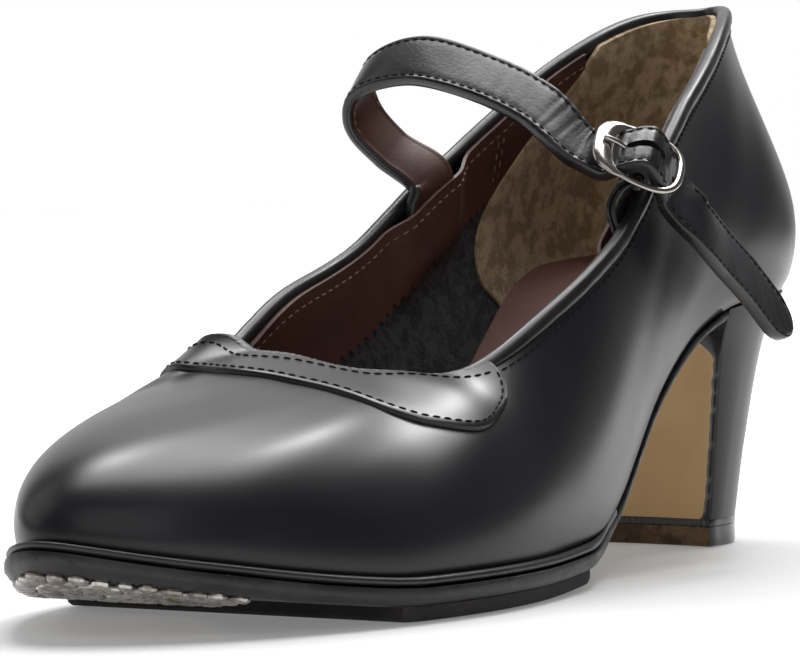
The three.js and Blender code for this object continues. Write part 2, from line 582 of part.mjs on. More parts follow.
// ---------------------------------------------------------------- heel
// A level D of the heel: rounded back, flat front, at a share of its height.
const heelTop = (d) => seamHeight(d) - GAP - 0.2;
const backCurve = curveThrough([[0, 0], [0.33, 0.2], [0.8, 0.6], [1, 1]]);
const HEEL_TOP_HALF = SEAT_HALF - 0.6;
const HEEL_TOP_BACK = 0.8;
const D_POINTS = 15;
const BREAST_HOLLOW = 1.5; // the front of the heel is hollow across
function heelSection(share, inset, frontInset, zAt) {
  const flare = backCurve(share);
  const half = mix(FOOT_HALF, HEEL_TOP_HALF, flare) - inset;
  const back = mix(FOOT_BACK, HEEL_TOP_BACK, flare) + inset;
  const front = mix(FOOT_FRONT, BREAST_AT, Math.pow(share, 2)) - frontInset;
  const deep = Math.min(front - back - 2, half * 1.05);
  const ring = range(D_POINTS).map((i) => {
    const angle = Math.PI * (i / (D_POINTS - 1));
    const round = 2.3; // a little squarer than a circle
    const [c, n] = [Math.cos(angle), Math.sin(angle)];
    const x = half * Math.sign(c) * Math.pow(Math.abs(c), 2 / round);
    return [x, back + deep - deep * Math.pow(n, 2 / round)];
  });
  ring.push([-half, front], [0, front - BREAST_HOLLOW * (1 - share * 0.5)], [half, front]);
  return ring.map(([x, d]) => vec(x, d, zAt(d)));
}
const SPACER_TOP = HEEL_LIFT + GAP + LIFT_SPACER;
const heelLevels = [0, 0.12, 0.28, 0.45, 0.62, 0.78, 0.9, 1];
function heelSolid(inset, frontInset, base, levels = heelLevels) {
  return loft(levels.length, false, (i) =>
    heelSection(levels[i], inset, frontInset, (d) => mix(base, heelTop(d), levels[i])));
}
const covered = COVER + GAP;
const coverOuter = heelSolid(0, FLAP + GAP, SPACER_TOP + GAP);
const coverInner = loft(heelLevels.length + 2, false, (i) => {
  const j = THREE.MathUtils.clamp(i - 1, 0, heelLevels.length - 1);
  const beyond = (i - 1 - j) * 2; // the cutting tool reaches past the top and the bottom
  return heelSection(heelLevels[j], COVER, -6, (d) =>
    mix(SPACER_TOP + GAP, heelTop(d), heelLevels[j]) + beyond);
});
add("heel_cover", cut(coverOuter, [coverInner]), blackLeather());
const screwAt = SEAT_AT;
const SCREW_RADIUS = 2.2;
const SCREW_HEAD = 4;
const SCREW_DEPTH = 24;
const block = heelSolid(covered, FLAP + GAP, SPACER_TOP + GAP);
const rod = (radius, from, to, x, d, sides = 10) => {
  const solid = new THREE.CylinderGeometry(radius, radius, to - from, sides);
  solid.rotateX(Math.PI / 2);
  solid.translate(x, -d, (from + to) / 2);
  return solid;
};
const seatTop = seamHeight(screwAt) + UPPER;
const screwHole = rod(SCREW_RADIUS + GAP, seatTop - SCREW_DEPTH - GAP, seatTop + 5, 0, screwAt);
add("heel_block", cut(block, [screwHole]), finish(0xc7ab7e, 0.7));
add("heel_screw", union([
  rod(SCREW_RADIUS, seatTop - SCREW_DEPTH, seatTop - 0.5, 0, screwAt),
  rod(SCREW_HEAD, seatTop - UPPER, seatTop, 0, screwAt),
]), steel());

// Leather down the front of the heel, its edge flush with the cover.
add("breast_flap", loft(heelLevels.length, false, (i) => {
  const share = heelLevels[i];
  const front = mix(FOOT_FRONT, BREAST_AT, Math.pow(share, 2));
  const half = mix(FOOT_HALF, HEEL_TOP_HALF, backCurve(share));
  const hollow = BREAST_HOLLOW * (1 - share * 0.5);
  const z = (d) => mix(SPACER_TOP + GAP, heelTop(d), share);
  const outline = [[half, front - FLAP], [half, front], [0, front - hollow], [-half, front],
    [-half, front - FLAP], [0, front - FLAP - hollow]];
  return outline.map(([x, d]) => vec(x, d, z(d)));
}), finish(0xb98a56, 0.6));

const footRing = (inset, z) => heelSection(0, inset, 0, () => z);
add("heel_spacer", loft(2, false, (i) => footRing(0, i ? SPACER_TOP : HEEL_LIFT + GAP)),
  finish(0x141210, 0.6));
const lift = loft(2, false, (i) => footRing(0.1, i ? HEEL_LIFT : 0));
const HEEL_NAIL = 1.3;
const heelNailAt = (i) => {
  const angle = Math.PI * (i / (HEEL_NAILS - 1));
  const [half, deep] = [FOOT_HALF - 5, FOOT_FRONT - FOOT_BACK - 11];
  return [half * Math.cos(angle), FOOT_FRONT - 5.5 - deep * Math.sin(angle)];
};
const LIFT_NAIL_DEPTH = HEEL_LIFT - 0.6;
add("heel_lift", cut(lift, range(HEEL_NAILS).map((i) =>
  rod(HEEL_NAIL + GAP, -1, LIFT_NAIL_DEPTH + GAP, ...heelNailAt(i), 6))), finish(0x4a3220, 0.85));
for (const i of range(HEEL_NAILS)) {
  add(`heel_nail_${i + 1}`, rod(HEEL_NAIL, 0, LIFT_NAIL_DEPTH, ...heelNailAt(i), 6), steel());
}

// ---------------------------------------------------------------- strap
// Its line from the sewn-in end on the inner side, over the instep, through the buckle and down the
// outer side: points (x, d, height over the seam at the ball), and the direction across the strap.
const rootDepth = ROOT_FACE + ROOT_THICK / 2;
const rootAt = (root, drop) => skin(root, height(root) - drop, rootDepth);
const topEdge = (s) => wall(s, height(s));
const acrossRoot = (root) => topEdge(root + 0.2).sub(topEdge(root - 0.2)).normalize();
const buckleCentre = vec(27, 88, 79);
const alongBuckle = new THREE.Vector3(0.765, 0.517, -0.383).normalize();
const acrossBuckle = new THREE.Vector3(-0.21, 0.76, 0.61).normalize();
const outOfBuckle = alongBuckle.clone().cross(acrossBuckle).normalize();
acrossBuckle.crossVectors(outOfBuckle, alongBuckle);
const inBuckle = (alongIt, up, across = 0) =>
  buckleCentre.clone().addScaledVector(alongBuckle, alongIt).addScaledVector(outOfBuckle, up)
    .addScaledVector(acrossBuckle, across);

const FRAME_THICK = 0.8; // half the height of the buckle's wide bar
const overBar = -BAR_DROP + BAR_RADIUS + 2 * GAP + TAB_LEATHER + STRAP_LINING + PLY_GAP / 2 + 0.3;
const BAR_ROOM = 1.15; // the frame can rock this far before it meets the strap
const underBar = -FRAME_THICK - BAR_ROOM - STRAP_OUTER - PLY_GAP / 2;
const strapLine = [
  [vec(-31.6, 83.5, 82), [0, 0.9, 0.43]],
  [vec(-35.2, 88.5, 89), [0, 0.85, 0.52]],
  [vec(-33, 91.5, 95.3), [-0.1, 0.77, 0.6]],
  [vec(-21.5, 92.8, 98.8), [0, 0.68, 0.73]],
  [vec(-7, 93.5, 95.7), [0.13, 0.78, 0.6]],
  [vec(7, 93.7, 89.4), [0.1, 0.82, 0.55]],
  [inBuckle(-BUCKLE_HALF - 4.5, underBar + 0.1), acrossBuckle.toArray()],
  [inBuckle(-6.6, underBar), acrossBuckle.toArray()],
  [inBuckle(-3.5, underBar + 3.4), acrossBuckle.toArray()],
  [inBuckle(0, overBar), acrossBuckle.toArray()],
  [inBuckle(3.5, underBar + 3.4), acrossBuckle.toArray()],
  [inBuckle(BUCKLE_HALF - 0.7, underBar - 0.8), acrossBuckle.toArray()],
  [vec(34.4, 79.8, 66.8), [-0.25, 0.58, 0.77]],
  [vec(35.2, 69.5, 60.4), [-0.28, 0.52, 0.81]],
  [vec(36.2, 60.5, 54.8), [-0.28, 0.52, 0.81]],
  [vec(37.4, 53.2, 49.2), [-0.27, 0.53, 0.8]],
  [vec(38.7, 47.5, 45), [-0.26, 0.55, 0.79]],
];
const rootUp = (drop) => [rootAt(STRAP_ROOT, drop), acrossRoot(STRAP_ROOT).toArray()];
const LEAVES = -1.6; // the moving strap starts this far above the top edge
const wholeLine = [rootUp(ROOT_DEPTH), rootUp(4), rootUp(LEAVES), ...strapLine];
const lineCurve = new THREE.CatmullRomCurve3(wholeLine.map(([p]) => p), false, "centripetal");
const acrossCurve = new THREE.CatmullRomCurve3(wholeLine.map(([, w]) => new THREE.Vector3(...w)));

// Position, across, along and face directions of a flat strip at parameter u of its line.
function stripFrame(line, across, u) {
  const point = line.getPoint(u);
  const forward = line.getTangent(u);
  const side = across.getPoint(u);
  side.addScaledVector(forward, -side.dot(forward)).normalize();
  return { point, forward, side, face: new THREE.Vector3().crossVectors(forward, side) };
}
// A strip with a flat section: half width, and the faces' distances along its face direction.
function strip(line, across, from, to, steps, halfAt, low, high) {
  return loft(steps + 1, false, (i) => {
    const u = mix(from, to, i / steps);
    const { point, side, face } = stripFrame(line, across, u);
    const half = halfAt(u);
    const at = (w, n) => point.clone().addScaledVector(side, w).addScaledVector(face, n);
    return [at(-half, low), at(half, low), at(half, high), at(-half, high)];
  });
}
const LEAVE_U = 2 / (wholeLine.length - 1);
const TIP_U = (wholeLine.length - 2.2) / (wholeLine.length - 1);
const strapHalf = (u) => {
  const past = THREE.MathUtils.clamp((u - TIP_U) / (1 - TIP_U), 0, 1);
  return (STRAP_WIDTH / 2) * Math.sqrt(Math.max(1 - past * past * 0.93, 0.02));
};
// A tool for a hole through both leathers, from one point of the strap to another.
function slotThrough(from, to, width) {
  const middle = inBuckle((from + to) / 2, 0);
  const box = new THREE.BoxGeometry(to - from, width, 14);
  box.applyMatrix4(new THREE.Matrix4().makeBasis(alongBuckle, acrossBuckle, outOfBuckle));
  return box.translate(...middle.toArray());
}
function holeThrough(u, radius) {
  const { point, forward, side, face } = stripFrame(lineCurve, acrossCurve, u);
  const hole = new THREE.CylinderGeometry(radius, radius, 8, 6);
  hole.applyMatrix4(new THREE.Matrix4().makeBasis(side, face, forward));
  return hole.translate(...point.toArray());
}
const HOLE_RADIUS = 1.1;
const spareHoles = [14.1, 15.35].map((k) => holeThrough(k / (wholeLine.length - 1), HOLE_RADIUS));
const prongSlot = slotThrough(-6.2, 1.9, STRAP_SLOT);
const strapSteps = 60;
const strapPiece = (low, high) => cut(
  strip(lineCurve, acrossCurve, LEAVE_U, 1, strapSteps, strapHalf, low, high), [prongSlot, ...spareHoles]);
add("strap_outer", strapPiece(PLY_GAP / 2, PLY_GAP / 2 + STRAP_OUTER), blackLeather());
add("strap_lining", strapPiece(-PLY_GAP / 2 - STRAP_LINING, -PLY_GAP / 2), brownLining());
add("strap_root", strip(lineCurve, acrossCurve, 0, LEAVE_U - 0.026, 6,
  () => STRAP_WIDTH / 2, -ROOT_THICK / 2, ROOT_THICK / 2), blackLeather());

// ---------------------------------------------------------------- buckle
const BUCKLE_INSIDE = STRAP_WIDTH / 2 + 0.9;
const WIRE = 0.65; // half the width of the thin bars
const WIDE_BAR = 1.9; // half the width of the domed front bar
const CORNER = 4.5; // squareness of the frame's outline
const FRAME_STEPS = 36;
const sideBar = BUCKLE_INSIDE + WIRE;
const frameRing = loft(FRAME_STEPS, true, (i) => {
  const angle = (2 * Math.PI * i) / FRAME_STEPS;
  const power = (c) => Math.sign(c) * Math.pow(Math.abs(c), 2 / CORNER);
  const [x, y] = [BUCKLE_HALF * power(Math.cos(angle)), sideBar * power(Math.sin(angle))];
  const front = step(-x / BUCKLE_HALF, 0.72, 1);
  const half = mix(WIRE, WIDE_BAR, front);
  const thick = mix(WIRE, FRAME_THICK, front);
  const steep = (share) => Math.sign(share) * Math.pow(Math.abs(share), CORNER - 1);
  const out = new THREE.Vector2(steep(x / BUCKLE_HALF), steep(y / sideBar)).normalize();
  const grown = 0.75 * (half - WIRE); // the wide bar is wider mostly outwards
  const section = [[-1, -1], [1, -1], [1, 0], [0.5, 1], [-0.5, 1], [-1, 0]];
  return section.map(([across, up]) =>
    inBuckle(x + out.x * (across * half + grown), up * thick, y + out.y * (across * half + grown)));
});
// A round bar across the buckle, standing for the hidden centre bar.
function crossBar(radius, length, sides) {
  const bar = new THREE.CylinderGeometry(radius, radius, length, sides);
  bar.applyMatrix4(new THREE.Matrix4().makeBasis(alongBuckle, acrossBuckle, outOfBuckle));
  return bar.translate(...inBuckle(0, -BAR_DROP).toArray());
}
add("buckle_frame", union([frameRing, crossBar(BAR_RADIUS, 2 * sideBar, 10)]), steel());

// The prong: an eye round the centre bar and a bar that lies on the front bar.
const EYE_INSIDE = BAR_RADIUS + 0.25;
const EYE_OUTSIDE = EYE_INSIDE + 0.7;
const PRONG_HALF = 0.75;
// An extruded outline in the buckle's along-and-up plane, centred on the centre bar.
function acrossExtrusion(shape, width, curveSegments) {
  const solid = new THREE.ExtrudeGeometry(shape, { depth: width, bevelEnabled: false, curveSegments });
  solid.translate(0, 0, -width / 2);
  const back = acrossBuckle.clone().negate();
  solid.applyMatrix4(new THREE.Matrix4().makeBasis(alongBuckle, outOfBuckle, back));
  return solid.translate(...inBuckle(0, -BAR_DROP).toArray());
}
function ringShape(outside, inside) {
  const ring = new THREE.Shape().absarc(0, 0, outside, 0, 2 * Math.PI);
  ring.holes.push(new THREE.Path().absarc(0, 0, inside, 0, 2 * Math.PI));
  return ring;
}
const eye = acrossExtrusion(ringShape(EYE_OUTSIDE, EYE_INSIDE), 2 * PRONG_HALF, 7);
const restsAt = BAR_DROP + FRAME_THICK + GAP; // underside of the prong over the front bar
const prongShape = new THREE.Shape([
  [-0.6, EYE_INSIDE + 0.1], [-4, restsAt - 0.5], [-BUCKLE_HALF - 1, restsAt],
  [-BUCKLE_HALF - 1.4, restsAt + 0.9], [-4, restsAt + 0.6], [-0.2, EYE_OUTSIDE],
].map(([x, y]) => new THREE.Vector2(x, y)));
add("buckle_prong", union([eye, acrossExtrusion(prongShape, 2 * PRONG_HALF, 1)]), steel());

// The leather tab that holds the buckle: folded round the centre bar, its doubled end sewn in.
const TAB_INSIDE = BAR_RADIUS + GAP;
const tabLoop = acrossExtrusion(ringShape(TAB_INSIDE + TAB_LEATHER, TAB_INSIDE), TAB_WIDTH, 6);
const tabPoints = [inBuckle(0, -BAR_DROP - TAB_INSIDE - TAB_LEATHER * 0.4), inBuckle(-0.3, -4.6),
  rootAt(TAB_ROOT, -0.5), rootAt(TAB_ROOT, 4), rootAt(TAB_ROOT, ROOT_DEPTH)];
const tabAcross = [acrossBuckle, acrossBuckle, ...range(3).map(() => acrossRoot(TAB_ROOT).negate())];
const tabLine = new THREE.CatmullRomCurve3(tabPoints, false, "centripetal");
const tabStrip = strip(tabLine, new THREE.CatmullRomCurve3(tabAcross), 0, 1, 12,
  () => TAB_WIDTH / 2, -ROOT_THICK / 2, ROOT_THICK / 2);
const PRONG_ROOM = 0.5; // slit in the tab wider than the prong
const slit = new THREE.BoxGeometry(9, 2 * (PRONG_HALF + PRONG_ROOM), 5.6);
slit.applyMatrix4(new THREE.Matrix4().makeBasis(alongBuckle, acrossBuckle, outOfBuckle));
slit.translate(...inBuckle(0, -BAR_DROP + 0.2).toArray());
add("buckle_tab", cut(union([tabLoop, tabStrip]), [slit]), blackLeather());

// ---------------------------------------------------------------- the whole shoe
// The origin is under the middle of the shoe, on the ground.
shoe.updateMatrixWorld(true);
const box = new THREE.Box3().setFromObject(shoe, true);
const middle = box.getCenter(new THREE.Vector3());
shoe.position.set(-middle.x, -middle.y, -box.min.z);

export default shoe;
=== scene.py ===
"""Looks of a left flamenco shoe with a buckled instep strap and a nailed toe and heel.

Every piece is built from the same last (the foot's form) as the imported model. Lengths are in
millimetres in the last's own frame until a piece is made: x to the outer side, y = -d with d
forward from the back of the heel, z up from the ground.
"""
import logging
import math
from dataclasses import dataclass, field
from enum import Enum
from typing import Callable, Iterable, Sequence

import bmesh
import bpy
import numpy as np
from mathutils import Matrix, Vector


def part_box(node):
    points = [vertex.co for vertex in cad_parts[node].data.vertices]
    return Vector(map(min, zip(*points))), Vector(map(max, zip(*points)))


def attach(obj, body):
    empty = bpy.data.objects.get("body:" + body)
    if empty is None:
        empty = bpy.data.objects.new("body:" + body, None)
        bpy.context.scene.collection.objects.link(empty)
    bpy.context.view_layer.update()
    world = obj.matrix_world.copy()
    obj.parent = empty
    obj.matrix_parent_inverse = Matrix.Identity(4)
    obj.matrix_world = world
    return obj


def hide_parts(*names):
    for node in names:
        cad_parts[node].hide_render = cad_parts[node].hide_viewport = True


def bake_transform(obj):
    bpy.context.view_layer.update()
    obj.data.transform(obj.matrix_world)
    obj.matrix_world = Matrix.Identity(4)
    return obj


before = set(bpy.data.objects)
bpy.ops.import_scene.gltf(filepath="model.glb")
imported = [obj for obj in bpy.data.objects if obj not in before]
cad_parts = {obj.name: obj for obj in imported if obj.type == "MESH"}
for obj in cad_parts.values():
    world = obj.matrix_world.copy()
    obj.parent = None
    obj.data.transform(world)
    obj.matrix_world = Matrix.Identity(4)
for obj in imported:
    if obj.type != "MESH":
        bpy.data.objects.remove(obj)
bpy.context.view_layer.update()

LOG = logging.getLogger("shoe")
MM = 0.001
Array = np.ndarray
Piece, Material = bpy.types.Object, bpy.types.Material
Tree, Node, Socket = bpy.types.NodeTree, bpy.types.Node, bpy.types.NodeSocket


# ------------------------------------------------------------------ small numeric tools
def turn_angles(count: int) -> Array:
    """Even angles of a whole turn, in radians."""
    return np.arange(count) / count * 2 * math.pi


def run_along(path: Array) -> Array:
    """Length travelled along a path at each of its points."""
    return np.concatenate([[0], np.cumsum(np.linalg.norm(np.diff(path, axis=0), axis=1))])


def across_line(x: Array, d: float, z: Array) -> Array:
    """Points at x and z on the level line a distance d forward of the heel's back."""
    return np.stack([x, np.full(len(x), -d), np.broadcast_to(z, len(x))], 1)


def hermite(t: Array, start: Array, leave: Array, end: Array, arrive: Array) -> Array:
    """The cubic from start to end with the given tangents, at a share t of the way."""
    t2, t3 = t * t, t * t * t
    return (start * (2 * t3 - 3 * t2 + 1) + leave * (t3 - 2 * t2 + t)
            + end * (3 * t2 - 2 * t3) + arrive * (t3 - t2))


def step(value: Array, low: float, high: float) -> Array:
    """Smooth rise from 0 at low to 1 at high."""
    t = np.clip((np.asarray(value, float) - low) / (high - low), 0.0, 1.0)
    return t * t * (3 - 2 * t)


def mix(a: float, b: float, share: float) -> float:
    """The value a share of the way from a to b."""
    return a + (b - a) * share


def unit(vectors: Array) -> Array:
    """Vectors scaled to length one along the last axis."""
    return vectors / np.maximum(np.linalg.norm(vectors, axis=-1, keepdims=True), 1e-12)


def waves(x: Array, seed: int, count: int = 5) -> Array:
    """A smooth irregular wave of about unit height, repeatable for its seed.

    Args:
        x: where to read it, in any unit; one unit is about one ripple.
        seed: which of the endless waves it is.
        count: how many sine waves are summed.

    Returns:
        The wave's height at each x.
    """
    draw = np.random.RandomState(seed)
    total = np.zeros_like(np.asarray(x, float))
    for _ in range(count):
        rate, shift = draw.uniform(0.5, 1.9), draw.uniform(0, 2 * math.pi)
        total += np.sin(x * rate * 2 * math.pi + shift)
    return total / math.sqrt(count)


def curve_through(points: Sequence[tuple[float, float]]) -> Callable[[Array], Array]:
    """A smooth function through [x, y] points that stays level between points of equal y."""
    xs = np.array([p[0] for p in points], float)
    ys = np.array([p[1] for p in points], float)
    slopes = np.empty_like(ys)
    for i in range(len(points)):
        a, b = max(i - 1, 0), min(i + 1, len(points) - 1)
        level = any(j != i and ys[j] == ys[i] for j in (a, b))
        slopes[i] = 0.0 if level else (ys[b] - ys[a]) / (xs[b] - xs[a])

    def read(x: Array) -> Array:
        """The function's value at x."""
        x = np.asarray(x, float)
        i = np.clip(np.searchsorted(xs, x, side="right") - 1, 0, len(xs) - 2)
        h = xs[i + 1] - xs[i]
        t = np.clip((x - xs[i]) / h, 0, 1)
        return hermite(t, ys[i], h * slopes[i], ys[i + 1], h * slopes[i + 1])

    return read


def closed_spline(points: Array) -> Callable[[Array], Array]:
    """A closed curve with continuous curvature through points; parameter i is point i."""
    count = len(points)
    tangents = (np.roll(points, -1, 0) - np.roll(points, 1, 0)) / 2
    for _ in range(40):
        chord = (np.roll(points, -1, 0) - np.roll(points, 1, 0)) * 3
        tangents = (chord - np.roll(tangents, -1, 0) - np.roll(tangents, 1, 0)) / 4

    def read(s: Array) -> Array:
        """The curve's point at parameter s."""
        whole = np.floor(s).astype(int)
        t = (s - whole)[..., None]
        i, j = whole % count, (whole + 1) % count
        return hermite(t, points[i], tangents[i], points[j], tangents[j])

    return read


def open_spline(points: Array) -> Callable[[Array], Array]:
    """A centripetal curve through points, read from 0 at the first to 1 at the last."""
    before = 2 * points[0] - points[1]
    after = 2 * points[-1] - points[-2]
    padded = np.vstack([before, points, after])
    last = len(points) - 1

    def read(u: Array) -> Array:
        """The curve's points at parameters u."""
        place = np.clip(np.asarray(u, float), 0, 1) * last
        i = np.minimum(place.astype(int), last - 1)
        t = (place - i)[..., None]
        p0, p1, p2, p3 = (padded[i + k] for k in range(4))
        gaps = [np.linalg.norm(b - a, axis=-1, keepdims=True) ** 0.5
                for a, b in ((p0, p1), (p1, p2), (p2, p3))]
        d1 = np.where(gaps[1] < 1e-4, 1.0, gaps[1])
        d0 = np.where(gaps[0] < 1e-4, d1, gaps[0])
        d2 = np.where(gaps[2] < 1e-4, d1, gaps[2])
        m1 = ((p1 - p0) / d0 - (p2 - p0) / (d0 + d1) + (p2 - p1) / d1) * d1
        m2 = ((p2 - p1) / d1 - (p3 - p1) / (d1 + d2) + (p3 - p2) / d2) * d1
        return hermite(t, p1, m1, p2, m2)

    return read


# ------------------------------------------------------------------ the last
ROUND = 21  # stations round the shoe
GAP = 0.3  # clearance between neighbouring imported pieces


@dataclass
class Last:
    """The form the shoe is made on: its seam line, its top edge and the wall between them."""

    seam_length: float = 235.0
    ball_at: float = 165.0
    ball_outer: float = 34.8
    ball_inner: float = 39.0
    waist_at: float = 80.0
    waist_outer: float = 24.5
    waist_inner: float = 22.0
    seat_at: float = 28.0
    seat_half: float = 26.0
    toe_inward: float = 12.0
    seat_height: float = 53.0
    tread: float = 2.4
    outsole: float = 3.2
    waist_sole: float = 2.3
    toe_spring: float = 8.0
    back_rise: float = 58.0
    throat_at: float = 163.0
    throat_rise: float = 37.5
    toe_depth: float = 17.0
    breast_at: float = 45.0
    upper: float = 1.2
    column: float = 0.05
    rows: int = 160

    def __post_init__(self) -> None:
        """Works out the curves and the dense grid of the wall."""
        self.ball_height = self.tread + self.outsole + 2 * GAP
        self.shank_end = self.ball_at - 49
        self.seam_height = curve_through(self._heights())
        stations = self._stations()
        plan = lambda cols: np.array([[r[c] * k for c, k in cols] for r in stations], float)
        self._seam = closed_spline(plan([(0, 1), (1, -1)]))
        self._top = closed_spline(plan([(2, 1), (3, -1), (4, 1)]))
        self._lean = closed_spline(plan([(5, 1), (6, 1)]))
        self._tuck = closed_spline(plan([(7, 1), (8, 1)]))
        self._wall_grid()

    def _heights(self) -> list[tuple[float, float]]:
        """Points of the seam's height over the ground by distance from the heel back."""
        low, lifted = self.ball_height, self.seat_height - self.ball_height
        shank = [(0.2, 0.815), (0.34, 0.68), (0.48, 0.514), (0.62, 0.322), (0.75, 0.168), (0.87, 0.078),
                 (1, 0.027)]
        front = [(0, 0), (0.28, 0), (0.5, 0.15), (0.76, 0.51), (1, 1)]
        return ([(-20, self.seat_height)]
                + [(d, low + lifted * f) for d, f in ((0, 1), (self.seat_at, 0.965), (self.breast_at, 0.926))]
                + [(mix(self.breast_at, self.shank_end, f), low + lifted * h) for f, h in shank]
                + [(mix(self.shank_end, self.ball_at, f), low + lifted * h)
                   for f, h in ((0.3, 0.008), (0.7, 0))]
                + [(mix(self.ball_at, self.seam_length, f), low + self.toe_spring * h) for f, h in front]
                + [(self.seam_length + 15, low + self.toe_spring * 1.9)])

    def _stations(self) -> list[list[float]]:
        """Each station's seam point, top edge point and how the wall leaves both."""
        seat, ball, inner, depth = self.seat_half, self.ball_outer, self.ball_inner, self.toe_depth
        rise, throat, back = self.throat_rise, lambda b: self.throat_at - b, self.back_rise
        toe = lambda f: mix(self.ball_at, self.seam_length, f)
        waist, inward = self.waist_at, self.toe_inward
        return [
            [0, 0, -1.5, 2.5, back, 7, 20, 1, 22],
            [0.74 * seat, 7.5, 6.5, 6.5, back + 0.3, 9, 20, 3, 22],
            [seat, self.seat_at, 15, self.seat_at - 1, back - 4, 8, 20, 3, 20],
            [0.97 * seat, 51, 20.7, 50, back - 11, 7, 18, 3, 16],
            [self.waist_outer, waist, 26, waist + 1, 49, 5, 16, 2, 14],
            [mix(self.waist_outer, ball, 0.46), 112, 26.3, 112, 49, 5, 16, 4, 10],
            [0.97 * ball, 140, 19.5, throat(22), rise - 1.8, 5, 15, 10, 3],
            [ball, self.ball_at, 10, throat(11), rise - 3.7, 4.5, 15, 17, 1],
            [0.82 * ball, toe(0.4), 3.5, throat(6.3), rise - 3, 4, depth - 3, 22, 5],
            [0.43 * ball, toe(0.757), -2.5, throat(3.6), rise - 1.8, 4, depth, 30, 7],
            [1, toe(0.943), -7, throat(1.5), rise - 0.4, 4, depth + 1, 32, 8],
            [-inward, self.seam_length, -11.5, throat(0), rise + 0.3, 4, depth + 1, 34, 9],
            [-inward - 10, toe(0.88), -16, throat(0.6), rise + 1, 6.5, depth, 28, 8],
            [-0.84 * inner, toe(0.6), -21.5, throat(2.4), rise + 3.3, 4.2, depth, 14, 6],
            [-0.96 * inner, toe(0.243), -28, throat(3.9), rise + 2.1, 3.5, depth - 2.6, 7.5, 5],
            [-0.92 * inner, 155, -32, throat(17), rise + 0.2, 4, 16, 6, 6],
            [-0.72 * inner, 122, -32.3, 122, 48, 4, 16, 2, 12],
            [-self.waist_inner, waist + 10, -30.3, waist + 11, 47.5, 3, 15, 1, 14],
            [-0.9 * seat, 60, -25, 61, back - 16, 6, 18, 3, 16],
            [-0.98 * seat, self.seat_at + 3, -16, self.seat_at + 2, back - 5.5, 8, 20, 3, 20],
            [-0.73 * seat, 7.5, -9.5, 8.5, back - 0.5, 9, 20, 2.5, 22],
        ]

    def seam(self, s: Array) -> Array:
        """Points of the seam at stations s."""
        plan = self._seam(np.asarray(s, float))
        return np.concatenate([plan, self.seam_height(-plan[..., 1])[..., None]], -1)

    def outward(self, s: Array) -> Array:
        """Level directions out of the shoe at the seam."""
        t = self._seam(np.asarray(s, float) + 0.02) - self._seam(np.asarray(s, float) - 0.02)
        out = np.stack([-t[..., 1], t[..., 0], np.zeros(t.shape[:-1])], -1)
        return unit(out)

    def _wall_grid(self) -> None:
        """Samples the wall at even heights on many columns, with its normals."""
        s = np.arange(0, ROUND, self.column)
        low, out = self.seam(s), self.outward(s)
        high = self._top(s)
        high[:, 2] += self.seam_height(-high[:, 1])
        lean, tuck = self._lean(s), self._tuck(s)
        up = np.array([0, 0, 1.0])
        c1 = low + out * lean[:, :1] + up * lean[:, 1:]
        c2 = high + out * tuck[:, :1] - up * tuck[:, 1:]
        t = np.linspace(0, 1, 241)[None, :, None]
        curve = ((1 - t) ** 3 * low[:, None] + 3 * (1 - t) ** 2 * t * c1[:, None]
                 + 3 * (1 - t) * t * t * c2[:, None] + t ** 3 * high[:, None])
        run = np.concatenate([np.zeros((len(s), 1)),
                              np.cumsum(np.linalg.norm(np.diff(curve, axis=1), axis=2), 1)], 1)
        self.lengths = run[:, -1]
        shares = np.linspace(0, 1, self.rows + 1)
        grid = np.empty((len(s), self.rows + 1, 3))
        for i in range(len(s)):
            for k in range(3):
                grid[i, :, k] = np.interp(shares * self.lengths[i], run[i], curve[i, :, k])
        around = np.roll(grid, -1, 0) - np.roll(grid, 1, 0)
        rising = np.gradient(grid, axis=1)
        self._grid, self._up = grid, unit(rising)
        self._normal = unit(np.cross(around, rising))

    def height(self, s: Array) -> Array:
        """Length of the wall from the seam to the top edge at stations s."""
        place = np.mod(np.asarray(s, float), ROUND) / self.column
        i = np.floor(place).astype(int)
        n = len(self.lengths)
        return self.lengths[i % n] * (1 - (place - i)) + self.lengths[(i + 1) % n] * (place - i)

    def skin(self, s: Array, a: Array, depth: Array) -> Array:
        """Points inside the wall by depth, at height a along it over the seam, at stations s."""
        s, a, depth = np.broadcast_arrays(*(np.asarray(v, float) for v in (s, a, depth)))
        length = self.height(s)
        inside = np.clip(a, 0, length)
        n = len(self.lengths)
        place = np.mod(s, ROUND) / self.column
        i = np.floor(place).astype(int)
        fi = (place - i)[..., None]
        row = np.clip(inside / length * self.rows, 0, self.rows - 1e-6)
        j = np.floor(row).astype(int)
        fj = (row - j)[..., None]

        def read(grid: Array, rows: Array, share: Array) -> Array:
            """The grid's value between its four nearest samples."""
            near = grid[i % n, rows] * (1 - share) + grid[i % n, rows + 1] * share
            far = grid[(i + 1) % n, rows] * (1 - share) + grid[(i + 1) % n, rows + 1] * share
            return near * (1 - fi) + far * fi

        level = np.clip(row, 0.02 * self.rows, 0.98 * self.rows)
        k = np.floor(level).astype(int)
        normal = unit(read(self._normal, k, (level - k)[..., None]))
        point = read(self._grid, j, fj)
        return point + unit(read(self._up, j, fj)) * (a - inside)[..., None] + normal * depth[..., None]

    def sole_edge(self, d: Array) -> Array:
        """How far the outsole's edge stands out from the seam."""
        return mix(0.4, 2.9, step(d, self.shank_end - 12, self.shank_end + 12))

    def sole_top(self, d: Array) -> Array:
        """Height of the outsole's upper face."""
        return self.seam_height(d) - GAP

    def sole_bottom(self, d: Array) -> Array:
        """Height of the outsole's lower face."""
        thick = mix(self.waist_sole, self.outsole, step(d, self.shank_end - 25, self.shank_end))
        return self.sole_top(d) - thick

